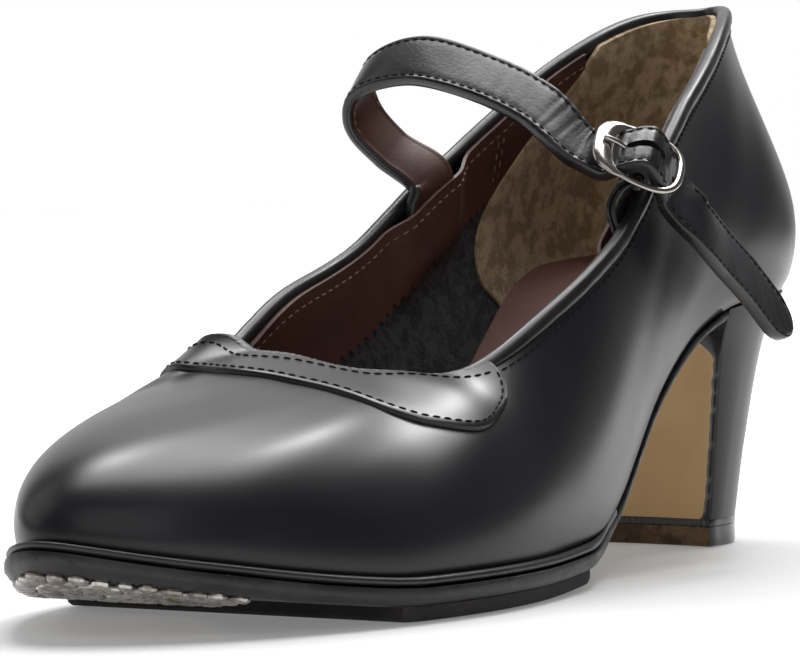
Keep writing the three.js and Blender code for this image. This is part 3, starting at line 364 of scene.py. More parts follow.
    def crossings(self, d: Array, margin: Callable[[Array], Array]) -> tuple[Array, Array]:
        """Inner and outer x of the seam moved out by a margin, where it crosses lines at d."""
        s = np.linspace(0, ROUND, 1600)
        edge = self.seam(s)
        edge = edge + self.outward(s) * np.asarray(margin(-edge[:, 1]))[..., None]
        inner, outer = [], []
        for line in np.atleast_1d(d):
            side = -edge[:, 1] - line
            hit = np.nonzero(side[:-1] * side[1:] <= 0)[0]
            sideways = edge[hit + 1, 0] - edge[hit, 0]
            x = edge[hit, 0] + sideways * side[hit] / (side[hit] - side[hit + 1] + 1e-12)
            inner.append(x.min() if len(x) else 0.0)
            outer.append(x.max() if len(x) else 0.0)
        return np.array(inner), np.array(outer)


LAST = Last()
_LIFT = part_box("heel_lift")
LIFT_BACK = 14.1  # d of the lift's back edge in the last's frame
SHIFT = np.array([(_LIFT[0][0] + _LIFT[1][0]) / 2 / MM, _LIFT[1][1] / MM + LIFT_BACK, _LIFT[0][2] / MM])


def placed(points: Array) -> Array:
    """Points of the last's frame in metres in the model's frame."""
    return (np.asarray(points, float) + SHIFT) * MM


# ------------------------------------------------------------------ meshes
class Shape:
    """Vertices and faces gathered for one piece, each face with the number of its finish."""

    def __init__(self) -> None:
        """Starts with nothing."""
        self.points: list[Array] = []
        self.faces: list[tuple[int, ...]] = []
        self.marks: list[int] = []
        self.count = 0

    def add(self, points: Array, faces: Iterable[tuple[int, ...]], marks: Sequence[int]) -> None:
        """Adds loose points and the faces between them, each with its finish."""
        flat = np.asarray(points, float).reshape(-1, 3)
        self.faces += [tuple(self.count + i for i in face) for face in faces]
        self.marks += marks
        self.points.append(flat)
        self.count += len(flat)

    @staticmethod
    def _walls(n: int, m: int, closed: bool) -> list[tuple[int, ...]]:
        """Four-sided faces between n neighbouring rings of m points."""
        return [(i * m + j, (i + 1) % n * m + j, (i + 1) % n * m + (j + 1) % m, i * m + (j + 1) % m)
                for i in range(n if closed else n - 1) for j in range(m)]

    def sweep(self, rings: Array, closed: bool = False, mark: int = 0,
              marks: Sequence[int] | None = None) -> None:
        """Adds a solid swept through rings of points.

        Args:
            rings: array of ring, point, xyz; each ring closes on itself.
            closed: the last ring joins the first, so there are no caps.
            mark: finish of the whole sweep.
            marks: finish of each strip between neighbouring ring points, instead of mark.
        """
        n, m = rings.shape[:2]
        faces = self._walls(n, m, closed)
        kinds = (list(marks) if marks is not None else [mark] * m) * (len(faces) // m)
        if not closed:
            faces += [tuple(range(m)), tuple(reversed(range((n - 1) * m, n * m)))]
            kinds += [mark, mark]
        self.add(rings, faces, kinds)

    def slab(self, outer: Array, inner: Array, closed: bool = False) -> None:
        """Adds a solid between two matching grids of points, closed round its rim."""
        rings = np.concatenate([outer, inner[:, ::-1]], 1)
        n, m = rings.shape[:2]
        faces = self._walls(n, m, closed)
        last = (n - 1) * m
        for j in range(0 if closed else m // 2 - 1):
            a, b, c, d = j, j + 1, m - 2 - j, m - 1 - j
            faces += [(a, b, c, d), (last + d, last + c, last + b, last + a)]
        self.add(rings, faces, [0] * len(faces))

    def make(self, name: str, finishes: Sequence["Finish"], smooth: float = 40.0) -> Piece:
        """The piece as an object, its faces pointing out.

        Args:
            name: the object's name.
            finishes: what the marks stand for.
            smooth: edges sharper than this many degrees stay sharp.

        Returns:
            The new object, in metres in the model's frame.
        """
        mesh = bpy.data.meshes.new(name)
        mesh.from_pydata(placed(np.vstack(self.points)).tolist(), [], self.faces)
        for finish in finishes:
            mesh.materials.append(finish.material())
        mesh.polygons.foreach_set("material_index", self.marks)
        mesh.polygons.foreach_set("use_smooth", [True] * len(mesh.polygons))
        piece = bpy.data.objects.new(name, mesh)
        bpy.context.scene.collection.objects.link(piece)
        bpy.context.view_layer.objects.active = piece
        tidy(piece)
        mesh.set_sharp_from_angle(angle=math.radians(smooth))
        return piece


def tidy(piece: Piece) -> None:
    """Joins doubled points and turns every face outwards."""
    work = bmesh.new()
    work.from_mesh(piece.data)
    bmesh.ops.remove_doubles(work, verts=work.verts, dist=2e-6)
    bmesh.ops.recalc_face_normals(work, faces=work.faces)
    work.to_mesh(piece.data)
    work.free()


def line_frames(path: Array, normals: Array) -> tuple[Array, Array]:
    """Unit directions to the side and off the face along a path whose rough normals are known."""
    tangent = unit(np.gradient(path, axis=0))
    side = unit(np.cross(normals, tangent))
    return side, unit(np.cross(tangent, side))


def even(path: Array, normals: Array, pitch: float) -> tuple[Array, Array]:
    """Points and normals at even steps of about pitch along a path."""
    run = run_along(path)
    count = max(int(round(run[-1] / pitch)), 1)
    at = (np.arange(count) + 0.5) / count * run[-1]
    pick = lambda rows: np.stack([np.interp(at, run, rows[:, k]) for k in range(3)], 1)
    return pick(path), unit(pick(normals))


@dataclass(frozen=True)
class Stitching:
    """A row of lock stitches: thread lying on a surface between its needle holes."""

    pitch: float = 2.1
    length: float = 1.55
    radius: float = 0.2
    sink: float = 0.04

    def sew(self, shape: Shape, path: Array, normals: Array, mark: int) -> None:
        """Adds the row's stitches along a path.

        Args:
            shape: the piece that takes them.
            path: points along the row, on the surface.
            normals: the surface's outward normals there.
            mark: the thread's finish.
        """
        fine, up = even(path, normals, 0.25)
        count = len(even(path, normals, self.pitch)[0])
        side, face = line_frames(fine, up)
        run = run_along(fine)
        reach = np.array([-0.5, -0.46, -0.3, 0, 0.3, 0.46, 0.5]) * self.length
        girth = np.array([0.15, 0.62, 0.95, 1, 0.95, 0.62, 0.15]) * self.radius
        dip = np.array([-0.28, -0.12, 0, 0.03, 0, -0.12, -0.28])
        angles = turn_angles(6)
        for centre in (np.arange(count) + 0.5) / count * run[-1]:
            at = np.clip(centre + reach, 0, run[-1])
            k = np.clip(np.searchsorted(run, at), 0, len(run) - 1)
            spine = np.stack([np.interp(at, run, fine[:, c]) for c in range(3)], 1)
            spine = spine + face[k] * (dip + self.radius * 0.4 - self.sink)[:, None]
            wide = np.cos(angles)[None, :, None] * girth[:, None, None]
            high = np.sin(angles)[None, :, None] * girth[:, None, None]
            rings = spine[:, None] + side[k][:, None] * wide + face[k][:, None] * high
            shape.sweep(rings, mark=mark)


# ------------------------------------------------------------------ shared effects
class Effect(Enum):
    """Surface effects that several finishes share; the value is the node group's name."""

    GRAIN = "leather_grain"
    NAP = "fibre_nap"
    SCUFF = "metal_scuff"
    WEAR = "patchy_wear"


def new_group(effect: Effect, inputs: dict[str, float], outputs: Sequence[str]) -> tuple[Tree, dict]:
    """An empty node group with its sockets.

    Args:
        effect: which effect it holds.
        inputs: number inputs with their usual values; a Vector input comes first.
        outputs: names of its number outputs.

    Returns:
        The group, and its input and output nodes under "in" and "out".
    """
    group = bpy.data.node_groups.new(effect.value, "ShaderNodeTree")
    group.interface.new_socket("Vector", in_out="INPUT", socket_type="NodeSocketVector")
    for name, value in inputs.items():
        group.interface.new_socket(name, in_out="INPUT", socket_type="NodeSocketFloat").default_value = value
    for name in outputs:
        group.interface.new_socket(name, in_out="OUTPUT", socket_type="NodeSocketFloat")
    ends = {"in": group.nodes.new("NodeGroupInput"), "out": group.nodes.new("NodeGroupOutput")}
    return group, ends


def wire(tree: Tree, kind: str, links: dict | None = None, **values: object) -> Node:
    """A new node with its inputs linked or set.

    Args:
        tree: the tree it goes in.
        kind: the node's type name.
        links: input name or number to the socket that feeds it, or to a plain value.
        values: attributes of the node itself.

    Returns:
        The node.
    """
    node = tree.nodes.new(kind)
    for key, value in values.items():
        setattr(node, key, value)
    for key, source in (links or {}).items():
        if isinstance(source, Socket):
            tree.links.new(source, node.inputs[key])
        else:
            node.inputs[key].default_value = source
    return node


def effect_group(effect: Effect) -> Tree:
    """The node group of an effect, made the first time it is asked for."""
    found = bpy.data.node_groups.get(effect.value)
    if found:
        return found
    makers = {Effect.GRAIN: leather_grain, Effect.NAP: fibre_nap, Effect.SCUFF: metal_scuff,
              Effect.WEAR: patchy_wear}
    return makers[effect]()


def close_group(group: Tree, ends: dict, **sockets: Socket) -> Tree:
    """Links sockets to the group's outputs of the same names and hands the group back."""
    for name, socket in sockets.items():
        group.links.new(socket, ends["out"].inputs[name])
    return group


def noise(group: Tree, vector: Socket, scale: Socket, detail: float,
          rough: float = 0.5, distortion: float = 0.0) -> Socket:
    """The value of a new noise texture in a group."""
    return wire(group, "ShaderNodeTexNoise", {"Vector": vector, "Scale": scale, "Detail": detail,
                                              "Roughness": rough, "Distortion": distortion}).outputs["Fac"]


def maths(group: Tree, operation: str, first: object, second: object) -> Socket:
    """The result of a new sum, difference or product in a group."""
    return wire(group, "ShaderNodeMath", {0: first, 1: second}, operation=operation).outputs[0]


def drawn_out(group: Tree, ends: dict, third: float) -> Socket:
    """The group's vector squeezed by its Stretch input along y and by a fixed share along z."""
    squeeze = wire(group, "ShaderNodeCombineXYZ", {0: 1.0, 1: ends["in"].outputs["Stretch"], 2: third})
    return wire(group, "ShaderNodeVectorMath", {0: ends["in"].outputs["Vector"], 1: squeeze.outputs[0]},
                operation="MULTIPLY").outputs[0]


def leather_grain() -> Tree:
    """Pebbled leather: rounded cells with finer pores between them."""
    group, ends = new_group(Effect.GRAIN, {"Scale": 900.0, "Pores": 0.3}, ["Height", "Mask"])
    vector, scale = ends["in"].outputs["Vector"], ends["in"].outputs["Scale"]
    cells = wire(group, "ShaderNodeTexVoronoi", {"Vector": vector, "Scale": scale, "Randomness": 0.95},
                 feature="SMOOTH_F1")
    fine = noise(group, vector, scale, 4.0, 0.6)
    pores = maths(group, "MULTIPLY", fine, ends["in"].outputs["Pores"])
    cell = maths(group, "SUBTRACT", 1.0, cells.outputs["Distance"])
    return close_group(group, ends, Height=maths(group, "ADD", cell, pores), Mask=fine)


def fibre_nap() -> Tree:
    """Short brushed fibres: two noises, one stretched, that break the surface up."""
    group, ends = new_group(Effect.NAP, {"Scale": 1500.0, "Stretch": 0.35}, ["Height", "Mask"])
    scale = ends["in"].outputs["Scale"]
    hairs = noise(group, drawn_out(group, ends, 1.0), scale, 6.0, 0.75)
    tufts = noise(group, ends["in"].outputs["Vector"], maths(group, "MULTIPLY", scale, 0.12), 5.0, 0.65)
    return close_group(group, ends, Height=maths(group, "ADD", hairs, tufts), Mask=tufts)


def metal_scuff() -> Tree:
    """Fine scratches and dull spots on bright metal."""
    group, ends = new_group(Effect.SCUFF, {"Scale": 400.0, "Stretch": 0.1}, ["Height", "Mask"])
    scale = ends["in"].outputs["Scale"]
    lines = noise(group, drawn_out(group, ends, 0.6), scale, 5.0, 0.7)
    return close_group(group, ends, Height=lines, Mask=noise(group, ends["in"].outputs["Vector"], scale, 2.0))


def patchy_wear() -> Tree:
    """Broad cloudy variation: handling, polish and age."""
    group, ends = new_group(Effect.WEAR, {"Scale": 30.0, "Low": 0.38, "High": 0.62}, ["Mask"])
    into = ends["in"].outputs
    cloud = noise(group, into["Vector"], into["Scale"], 4.0, 0.55, 0.4)
    spread = wire(group, "ShaderNodeMapRange", {"Value": cloud, "From Min": into["Low"],
                                                "From Max": into["High"]}, clamp=True)
    return close_group(group, ends, Mask=spread.outputs["Result"])


# ------------------------------------------------------------------ finishes
@dataclass(frozen=True)
class Finish:
    """How a piece is finished: two tones that cloud into each other, a fine surface effect and gloss."""

    name: str
    tone: tuple[float, float, float]
    second: tuple[float, float, float]
    effect: Effect = Effect.GRAIN
    scale: float = 1200.0
    bump: float = 0.1
    depth: float = 0.05
    rough: tuple[float, float] = (0.3, 0.42)
    clouds: float = 40.0
    fine_tint: float = 0.0
    metal: float = 0.0
    coat: float = 0.0
    coat_rough: float = 0.15
    sheen: float = 0.0
    specular: float = 0.5

    def material(self) -> Material:
        """The finish as a material, made the first time it is asked for."""
        title = "finish_" + self.name
        found = bpy.data.materials.get(title)
        if found:
            return found
        made = bpy.data.materials.new(title)
        made.use_nodes = True
        tree = made.node_tree
        shader = next(n for n in tree.nodes if n.type == "BSDF_PRINCIPLED")
        place = wire(tree, "ShaderNodeTexCoord").outputs["Object"]
        fine = wire(tree, "ShaderNodeGroup", node_tree=effect_group(self.effect))
        tree.links.new(place, fine.inputs["Vector"])
        fine.inputs["Scale"].default_value = self.scale
        wear = wire(tree, "ShaderNodeGroup", node_tree=effect_group(Effect.WEAR))
        tree.links.new(place, wear.inputs["Vector"])
        wear.inputs["Scale"].default_value = self.clouds
        tone = wire(tree, "ShaderNodeMix", data_type="RGBA")
        tree.links.new(self._mask(tree, fine, wear), tone.inputs["Factor"])
        tone.inputs["A"].default_value = (*self.tone, 1)
        tone.inputs["B"].default_value = (*self.second, 1)
        tree.links.new(tone.outputs["Result"], shader.inputs["Base Color"])
        gloss = wire(tree, "ShaderNodeMapRange", {"Value": wear.outputs["Mask"], "To Min": self.rough[0],
                                                  "To Max": self.rough[1]})
        tree.links.new(gloss.outputs["Result"], shader.inputs["Roughness"])
        relief = wire(tree, "ShaderNodeBump", {"Height": fine.outputs["Height"], "Strength": self.bump,
                                               "Distance": self.depth * MM})
        tree.links.new(relief.outputs["Normal"], shader.inputs["Normal"])
        shader.inputs["Metallic"].default_value = self.metal
        shader.inputs["Coat Weight"].default_value = self.coat
        shader.inputs["Coat Roughness"].default_value = self.coat_rough
        shader.inputs["Sheen Weight"].default_value = self.sheen
        shader.inputs["Specular IOR Level"].default_value = self.specular
        made.diffuse_color = (*self.tone, 1)
        return made

    def _mask(self, tree: Tree, fine: Node, wear: Node) -> Socket:
        """How much of the second tone shows: the clouds, broken up by the fine effect."""
        if not self.fine_tint:
            return wear.outputs["Mask"]
        part = wire(tree, "ShaderNodeMapRange", {
            "Value": fine.outputs["Mask"], "From Min": 0.35, "From Max": 0.65, "To Min": -self.fine_tint,
            "To Max": self.fine_tint})
        return wire(tree, "ShaderNodeMath", {0: wear.outputs["Mask"], 1: part.outputs["Result"]},
                    operation="ADD", use_clamp=True).outputs[0]


CALF = Finish("black_calf", (0.01, 0.009, 0.012), (0.016, 0.014, 0.018), scale=1500, bump=0.05, depth=0.03,
              rough=(0.3, 0.36), clouds=18, coat=0.1, coat_rough=0.25, specular=0.42)
EDGE_CALF = Finish("folded_calf", (0.012, 0.011, 0.013), (0.024, 0.022, 0.025), scale=1300, bump=0.14,
                   depth=0.05, rough=(0.34, 0.44), clouds=60, coat=0.12, coat_rough=0.25)
STRAP_CALF = Finish("pebbled_calf", (0.013, 0.011, 0.014), (0.024, 0.021, 0.026), scale=1400, bump=0.4,
                    depth=0.1, rough=(0.3, 0.42), clouds=50, coat=0.2, coat_rough=0.2)
INKED_EDGE = Finish("inked_edge", (0.009, 0.008, 0.009), (0.02, 0.018, 0.018), scale=2500, bump=0.25,
                    depth=0.05, rough=(0.22, 0.4), clouds=80, coat=0.3)
BROWN = Finish("brown_lining", (0.12, 0.048, 0.034), (0.075, 0.03, 0.023), scale=1000, bump=0.3,
               depth=0.08, rough=(0.5, 0.68), clouds=45, fine_tint=0.25)
SOCK = Finish("brown_sock", (0.18, 0.065, 0.048), (0.13, 0.046, 0.035), scale=1100, bump=0.25, depth=0.06,
              rough=(0.42, 0.6), clouds=30, fine_tint=0.2)
FELT = Finish("black_felt", (0.008, 0.008, 0.01), (0.06, 0.06, 0.068), Effect.NAP, scale=2600, bump=1.0,
              depth=0.5, rough=(0.85, 0.98), clouds=900, fine_tint=0.9, sheen=0.1)
SUEDE = Finish("beige_suede", (0.42, 0.28, 0.13), (0.78, 0.59, 0.35), Effect.NAP, scale=1500, bump=1.0,
               depth=0.5, rough=(0.85, 0.97), clouds=300, fine_tint=0.9, sheen=0.3)
TAN = Finish("natural_tan", (0.62, 0.38, 0.155), (0.7, 0.45, 0.2), Effect.NAP, scale=900, bump=0.12,
             depth=0.05, rough=(0.4, 0.52), clouds=35, fine_tint=0.25, coat=0.05)
SOLE = Finish("black_sole", (0.014, 0.013, 0.014), (0.03, 0.028, 0.03), Effect.NAP, scale=1600, bump=0.35,
              depth=0.1, rough=(0.36, 0.52), clouds=120, fine_tint=0.3)
RUBBER = Finish("half_sole_rubber", (0.012, 0.011, 0.011), (0.03, 0.027, 0.025), Effect.NAP, scale=1200,
                bump=0.6, depth=0.2, rough=(0.7, 0.85), clouds=150, fine_tint=0.4)
LIFT = Finish("lift_fibre", (0.07, 0.04, 0.02), (0.18, 0.11, 0.055), Effect.NAP, scale=1500, bump=0.8,
              depth=0.3, rough=(0.7, 0.88), clouds=300, fine_tint=0.7)
THREAD = Finish("black_thread", (0.005, 0.005, 0.006), (0.012, 0.011, 0.013), Effect.NAP, scale=3500,
                bump=0.5, depth=0.1, rough=(0.7, 0.8), clouds=300, specular=0.2)
PALE_THREAD = Finish("tan_thread", (0.22, 0.13, 0.07), (0.34, 0.22, 0.13), Effect.NAP, scale=3500,
                     bump=0.5, depth=0.1, rough=(0.6, 0.75), clouds=300)
NICKEL = Finish("polished_nickel", (0.6, 0.56, 0.52), (0.5, 0.47, 0.44), Effect.SCUFF, scale=500,
                bump=0.06, depth=0.03, rough=(0.1, 0.2), clouds=150, metal=1.0)
STEEL = Finish("nail_steel", (0.62, 0.59, 0.56), (0.34, 0.3, 0.27), Effect.SCUFF, scale=900, bump=0.45,
               depth=0.12, rough=(0.22, 0.42), clouds=160, fine_tint=0.5, metal=1.0)
BRASS = Finish("nail_brass", (0.42, 0.33, 0.14), (0.25, 0.2, 0.1), Effect.SCUFF, scale=900, bump=0.4,
               depth=0.12, rough=(0.3, 0.45), clouds=160, metal=1.0)
FOAM = Finish("latex_foam", (0.62, 0.55, 0.4), (0.7, 0.64, 0.5), Effect.NAP, scale=1400, bump=0.7,
              depth=0.2, rough=(0.85, 0.95), clouds=100)
CLOTH = Finish("stiffened_cloth", (0.5, 0.46, 0.38), (0.6, 0.55, 0.46), Effect.NAP, scale=1500, bump=0.6,
               depth=0.15, rough=(0.8, 0.9), clouds=80, fine_tint=0.3)
BOARD = Finish("fibre_board", (0.3, 0.2, 0.11), (0.4, 0.28, 0.16), Effect.NAP, scale=800, bump=0.5,
               depth=0.2, rough=(0.8, 0.92), clouds=90, fine_tint=0.4)
CORK = Finish("ground_cork", (0.26, 0.15, 0.07), (0.4, 0.26, 0.14), Effect.GRAIN, scale=500, bump=0.7,
              depth=0.3, rough=(0.85, 0.95), clouds=250, fine_tint=0.5)
BEECH = Finish("beech", (0.5, 0.34, 0.19), (0.6, 0.44, 0.27), Effect.SCUFF, scale=300, bump=0.3, depth=0.1,
               rough=(0.6, 0.72), clouds=60, fine_tint=0.4)
PALE_FLOOR = Finish("pale_floor", (0.86, 0.86, 0.86), (0.9, 0.9, 0.9), Effect.NAP, scale=40, bump=0.02,
                    depth=0.05, rough=(0.55, 0.65), clouds=3)


def keep(piece: Piece, body: str, slot: str, *nodes: str) -> Piece:
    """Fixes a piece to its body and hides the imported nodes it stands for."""
    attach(piece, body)
    if nodes:
        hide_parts(*nodes)
    LOG.info("%s: %d faces on %s", piece.name, len(piece.data.polygons), body)
    return piece


# ------------------------------------------------------------------ upper and linings
@dataclass
class Upper:
    """The black leather upper with its folded top edge and the band over the throat."""

    roll: float = 2.5
    band_thick: float = 0.85
    band_from: float = 5.98
    band_to: float = 15.1
    lasting: float = 9.0
    row_drop: float = 1.25
    band_drop: float = 0.9
    stitch: Stitching = field(default_factory=Stitching)

    def shell(self) -> Piece:
        """The wall of the shoe, turned under all round."""
        s = np.arange(0, ROUND, 0.08)
        top = LAST.height(s)
        seam, out = LAST.seam(s), LAST.outward(s)
        outer, inner = [], []
        for flange in (-self.lasting, -self.lasting / 2, -1.2, -0.35):
            for rows, depth in ((outer, 0.0), (inner, LAST.upper)):
                p = seam + out * (flange - (depth if flange > -1 else 0))
                p[:, 2] = LAST.seam_height(-p[:, 1]) + depth
                rows.append(p)
        shares = np.concatenate([[0.004, 0.012], np.linspace(0.025, 1, 56)])
        for share in shares:
            outer.append(LAST.skin(s, share * top, self._tension(s, share)))
            inner.append(LAST.skin(s, share * top, LAST.upper))
        shape = Shape()
        shape.slab(np.stack(outer, 1), np.stack(inner, 1), closed=True)
        self._sew_top(shape)
        return keep(shape.make("upper_leather", [CALF, THREAD]), "shoe", "black_leather", "upper_outer")

    def _tension(self, s: Array, share: float) -> Array:
        """Slight swelling and pull of the leather over the form, as depth."""
        swell = 0.10 * np.sin(share * math.pi) * waves(s * 0.55 + share * 1.3, 3)
        near_top = step(share, 0.86, 0.98)
        pull = 0.05 * near_top * waves(s * 9.0, 5)
        welted = 0.35 * (1 - step(share, 0.0, 0.05))
        return swell * step(share, 0.05, 0.3) + pull + welted

    def _sew_top(self, shape: Shape) -> None:
        """The row of stitches below the folded edge."""
        s = np.linspace(0, ROUND, 1200)
        a = LAST.height(s) - self.roll - self.row_drop
        path = LAST.skin(s, a, -0.02)
        out = LAST.skin(s, a, -1.0) - path
        for part in (s < self.band_from, s > self.band_to):
            self.stitch.sew(shape, path[part], out[part], 1)

    def edge_roll(self) -> Piece:
        """The leather folded over the top edge, with the small creases of the fold."""
        s = np.arange(0, ROUND, 0.03)
        top = LAST.height(s)
        section = [(-self.roll, 0.05), (-self.roll + 0.1, -0.5), (-self.roll + 0.7, -0.86), (-1.0, -1.02),
                   (-0.2, -0.95), (0.4, -0.62), (0.75, -0.1), (0.85, 0.6), (0.72, 1.3), (0.3, 1.85),
                   (-0.5, 2.15), (-1.6, 2.2), (-2.3, 2.0), (-2.4, 1.3), (-2.4, 0.5)]
        tight = 0.25 + 0.75 * np.exp(-((s - 9.5) / 3.8) ** 2) + 0.35 * np.exp(-((s - 4.6) / 0.8) ** 2)
        rings = []
        for k, (a, depth) in enumerate(section):
            proud = 1.0 if 1 <= k <= 9 else 0.0
            crease = tight * 0.09 * np.minimum(waves(s * 7 + a * 0.3, 11), 0.4)
            crease += 0.012 * waves(s * 16 + a * 0.5, 12)
            drift = 0.10 * waves(s * 1.7, 13)
            rings.append(LAST.skin(s, top + a + drift * (k < 3), depth - proud * crease))
        shape = Shape()
        shape.sweep(np.stack(rings, 1), closed=True)
        piece = shape.make("top_edge_fold", [EDGE_CALF], smooth=60)
        return keep(piece, "shoe", "black_leather", "topline_binding")

    def throat_band(self) -> Piece:
        """The stitched band laid over the throat, with its rounded ends."""
        run = np.linspace(self.band_from, self.band_to, 900)
        path = LAST.skin(run, LAST.height(run) - 6, 0.0)
        length = run_along(path)
        total = length[-1]
        ends = np.sin(np.linspace(0, math.pi / 2, 14)) ** 2 * 9.0
        along = np.unique(np.concatenate([ends, np.arange(9, total - 9, 1.2), total - ends]))
        s = np.interp(along, length, run)
        reach = np.minimum(along, total - along)
        corner = np.clip(1 - reach / 8.0, 0, 1)
        reach_down = curve_through([(5.9, 6.3), (6.4, 13.6), (7, 21.9), (7.6, 22.4), (8.1, 20.3), (9.7, 15.8),
                                    (11.5, 11.4), (12.8, 13.6), (15, 9.2)])
        width = (reach_down(s) - self.band_drop) * (1 - corner ** 2.6) ** (1 / 2.2)
        top = LAST.height(s)
        outer, inner = [], []
        edge = [(0.0, 0.2), (0.015, 0.8), (0.04, 1.0), (0.08, 0.96), (0.12, 0.98)]
        for share, lift in edge + [(share, 1.0) for share in (0.2, 0.3, 0.4, 0.5, 0.6, 0.7, 0.8, 0.9, 1.0)]:
            a = top - self.band_drop - width * (1 - share)
            outer.append(LAST.skin(s, a, -0.12 - self.band_thick * lift))
            inner.append(LAST.skin(s, a, 0.35))
        shape = Shape()
        shape.slab(np.stack(outer, 1), np.stack(inner, 1))
        row = top - self.band_drop - (width - 1.5)
        seen = width > 3.2
        sewn = LAST.skin(s, row, -0.12 - self.band_thick * 0.98)
        out = LAST.skin(s, row, -2.0) - sewn
        self.stitch.sew(shape, sewn[seen], out[seen], 1)
        upper_row = LAST.skin(s, top - self.roll - self.row_drop, -0.13 - self.band_thick)
        inside = width > 5
        self.stitch.sew(shape, upper_row[inside], out[inside], 1)
        return keep(shape.make("throat_band", [CALF, THREAD]), "shoe", "black_leather", "throat_overlay")

    def build(self) -> None:
        """Makes every piece of the upper."""
        self.shell()
        self.edge_roll()
        self.throat_band()


@dataclass
class Linings:
    """What shows inside: brown band with a pinked edge, felt, suede heel grip, sock and foam."""

    depth: float = 2.7
    thick: float = 0.8
    root: float = 17.4
    tab: float = 4.28
    pink_pitch: float = 2.8
    pink_depth: float = 1.7
    band_ends: tuple[float, float] = (2.2, 18.95)
    felt_ends: tuple[float, float] = (2.0, 19.1)
    felt_drop: float = 10.0
    foot: float = 2.0
    under_fold: float = 0.9
    row_drop: float = 3.4
    join_rows: tuple[float, float] = (18.15, 18.2)
    stitch: Stitching = field(default_factory=lambda: Stitching(pitch=2.4, length=1.5, radius=0.16))

    def bulge(self, s: Array, a: Array) -> Array:
        """Extra depth of the lining over the sewn-in ends of the strap and the tab."""
        top = LAST.height(s)
        near = lambda root: 1 - step(np.abs(s - root), 0.22, 0.48)
        high = 1 - step(top - a, 12, 21)
        return 3.0 * high * np.maximum(near(self.root), near(self.tab))

    def tucked(self, s: Array, a: Array) -> Array:
        """The lining's depth, rising under the folded edge at its top."""
        reach = LAST.height(s) - a
        return self.depth - 0.4 * (1 - step(reach, 1.4, 5.5))

    def layer(self, s: Array, heights: Sequence[Array], extra: float = 0.0) -> tuple[Array, Array]:
        """Outer and inner grids of a lining through the given heights."""
        near, far = [], []
        for a in heights:
            depth = self.tucked(s, a) + self.bulge(s, a) + extra
            near.append(LAST.skin(s, a, depth + self.thick))
            far.append(LAST.skin(s, a, depth))
        return np.stack(far, 1), np.stack(near, 1)

    def band_drop(self, s: Array) -> Array:
        """How far the brown band reaches below the top edge."""
        inner = curve_through([(8, 20), (12, 22), (14.5, 25), (15.5, 22), (16.5, 18.5), (17.5, 16.5),
                               (18.6, 19)])
        outer = curve_through([(2, 18), (3.5, 16), (5, 17), (6.5, 20), (8, 20)])
        return np.where(s > 8, inner(s), outer(s))

    def brown_band(self) -> Piece:
        """The brown leather band along the top, pinked along its lower edge and stitched."""
        s = np.linspace(*self.band_ends, 1500)
        top = LAST.height(s)
        path = LAST.skin(s, top - 18, 3.0)
        run = run_along(path)
        tooth = np.abs(2 * (run / self.pink_pitch % 1) - 1) * self.pink_depth
        low = top - self.band_drop(s) + tooth
        heights = [low + (top - self.under_fold - low) * share for share in np.linspace(0, 1, 14)]
        outer, inner = self.layer(s, heights)
        shape = Shape()
        shape.slab(outer, inner)
        self._sew_row(shape, s, top - self.row_drop)
        for place in self.join_rows:
            wall = LAST.height(np.array(place))
            a = np.linspace(wall - 14, wall - 4, 40)
            self._sew_row(shape, np.full_like(a, place), a)
        piece = shape.make("brown_lining_band", [BROWN, PALE_THREAD])
        return keep(piece, "shoe", "brown_leather", "lining_band")

    def _sew_row(self, shape: Shape, s: Array, a: Array) -> None:
        """A row of pale stitches on the lining's face through stations s at heights a."""
        line = LAST.skin(s, a, self.tucked(s, a) + self.bulge(s, a) + self.thick)
        self.stitch.sew(shape, line, LAST.skin(s, a, 9.0) - line, 1)

    def felt(self) -> Piece:
        """The felt that lines the forepart and the sides below the band."""
        s = np.linspace(*self.felt_ends, 420)
        low, high = self.foot, LAST.height(s) - self.felt_drop
        heights = [low + (high - low) * share for share in np.linspace(0, 1, 26)]
        outer, inner = self.layer(s, heights, extra=-0.25)
        shape = Shape()
        shape.slab(outer, inner)
        return keep(shape.make("felt_lining", [FELT]), "shoe", "black_felt", "lining_felt")

    def grip_front(self, share: Array, inner: bool) -> Array:
        """Station of the suede's front edge at a share of the wall's height."""
        curve = curve_through([(0, 18.15), (0.25, 17.95), (0.5, 18.0), (0.75, 18.45), (1, 19.1)])
        return curve(share) if inner else 2 * ROUND - curve(share)

    def heel_grip(self) -> Piece:
        """The suede round the heel, its front edges curved."""
        shares = np.linspace(0, 1, 34)
        u = np.linspace(0, 1, 190)
        outer, inner = [], []
        for share in shares:
            start, stop = self.grip_front(share, True), self.grip_front(share, False)
            s = mix(start, stop, u)
            a = self.foot + share * (LAST.height(s) - self.under_fold - self.foot)
            edge = np.minimum(u, 1 - u) * 190
            depth = self.tucked(s, a) + self.bulge(s, a)
            swell = 0.55 + 0.45 * step(edge, 0, 2) + 0.12 * waves(s * 2 + share * 2, 31)
            outer.append(LAST.skin(s, a, depth))
            inner.append(LAST.skin(s, a, depth + self.thick + 0.35 * swell))
        shape = Shape()
        shape.slab(np.stack(outer, 1), np.stack(inner, 1))
        return keep(shape.make("suede_heel_grip", [SUEDE]), "shoe", "beige_suede", "heel_grip")

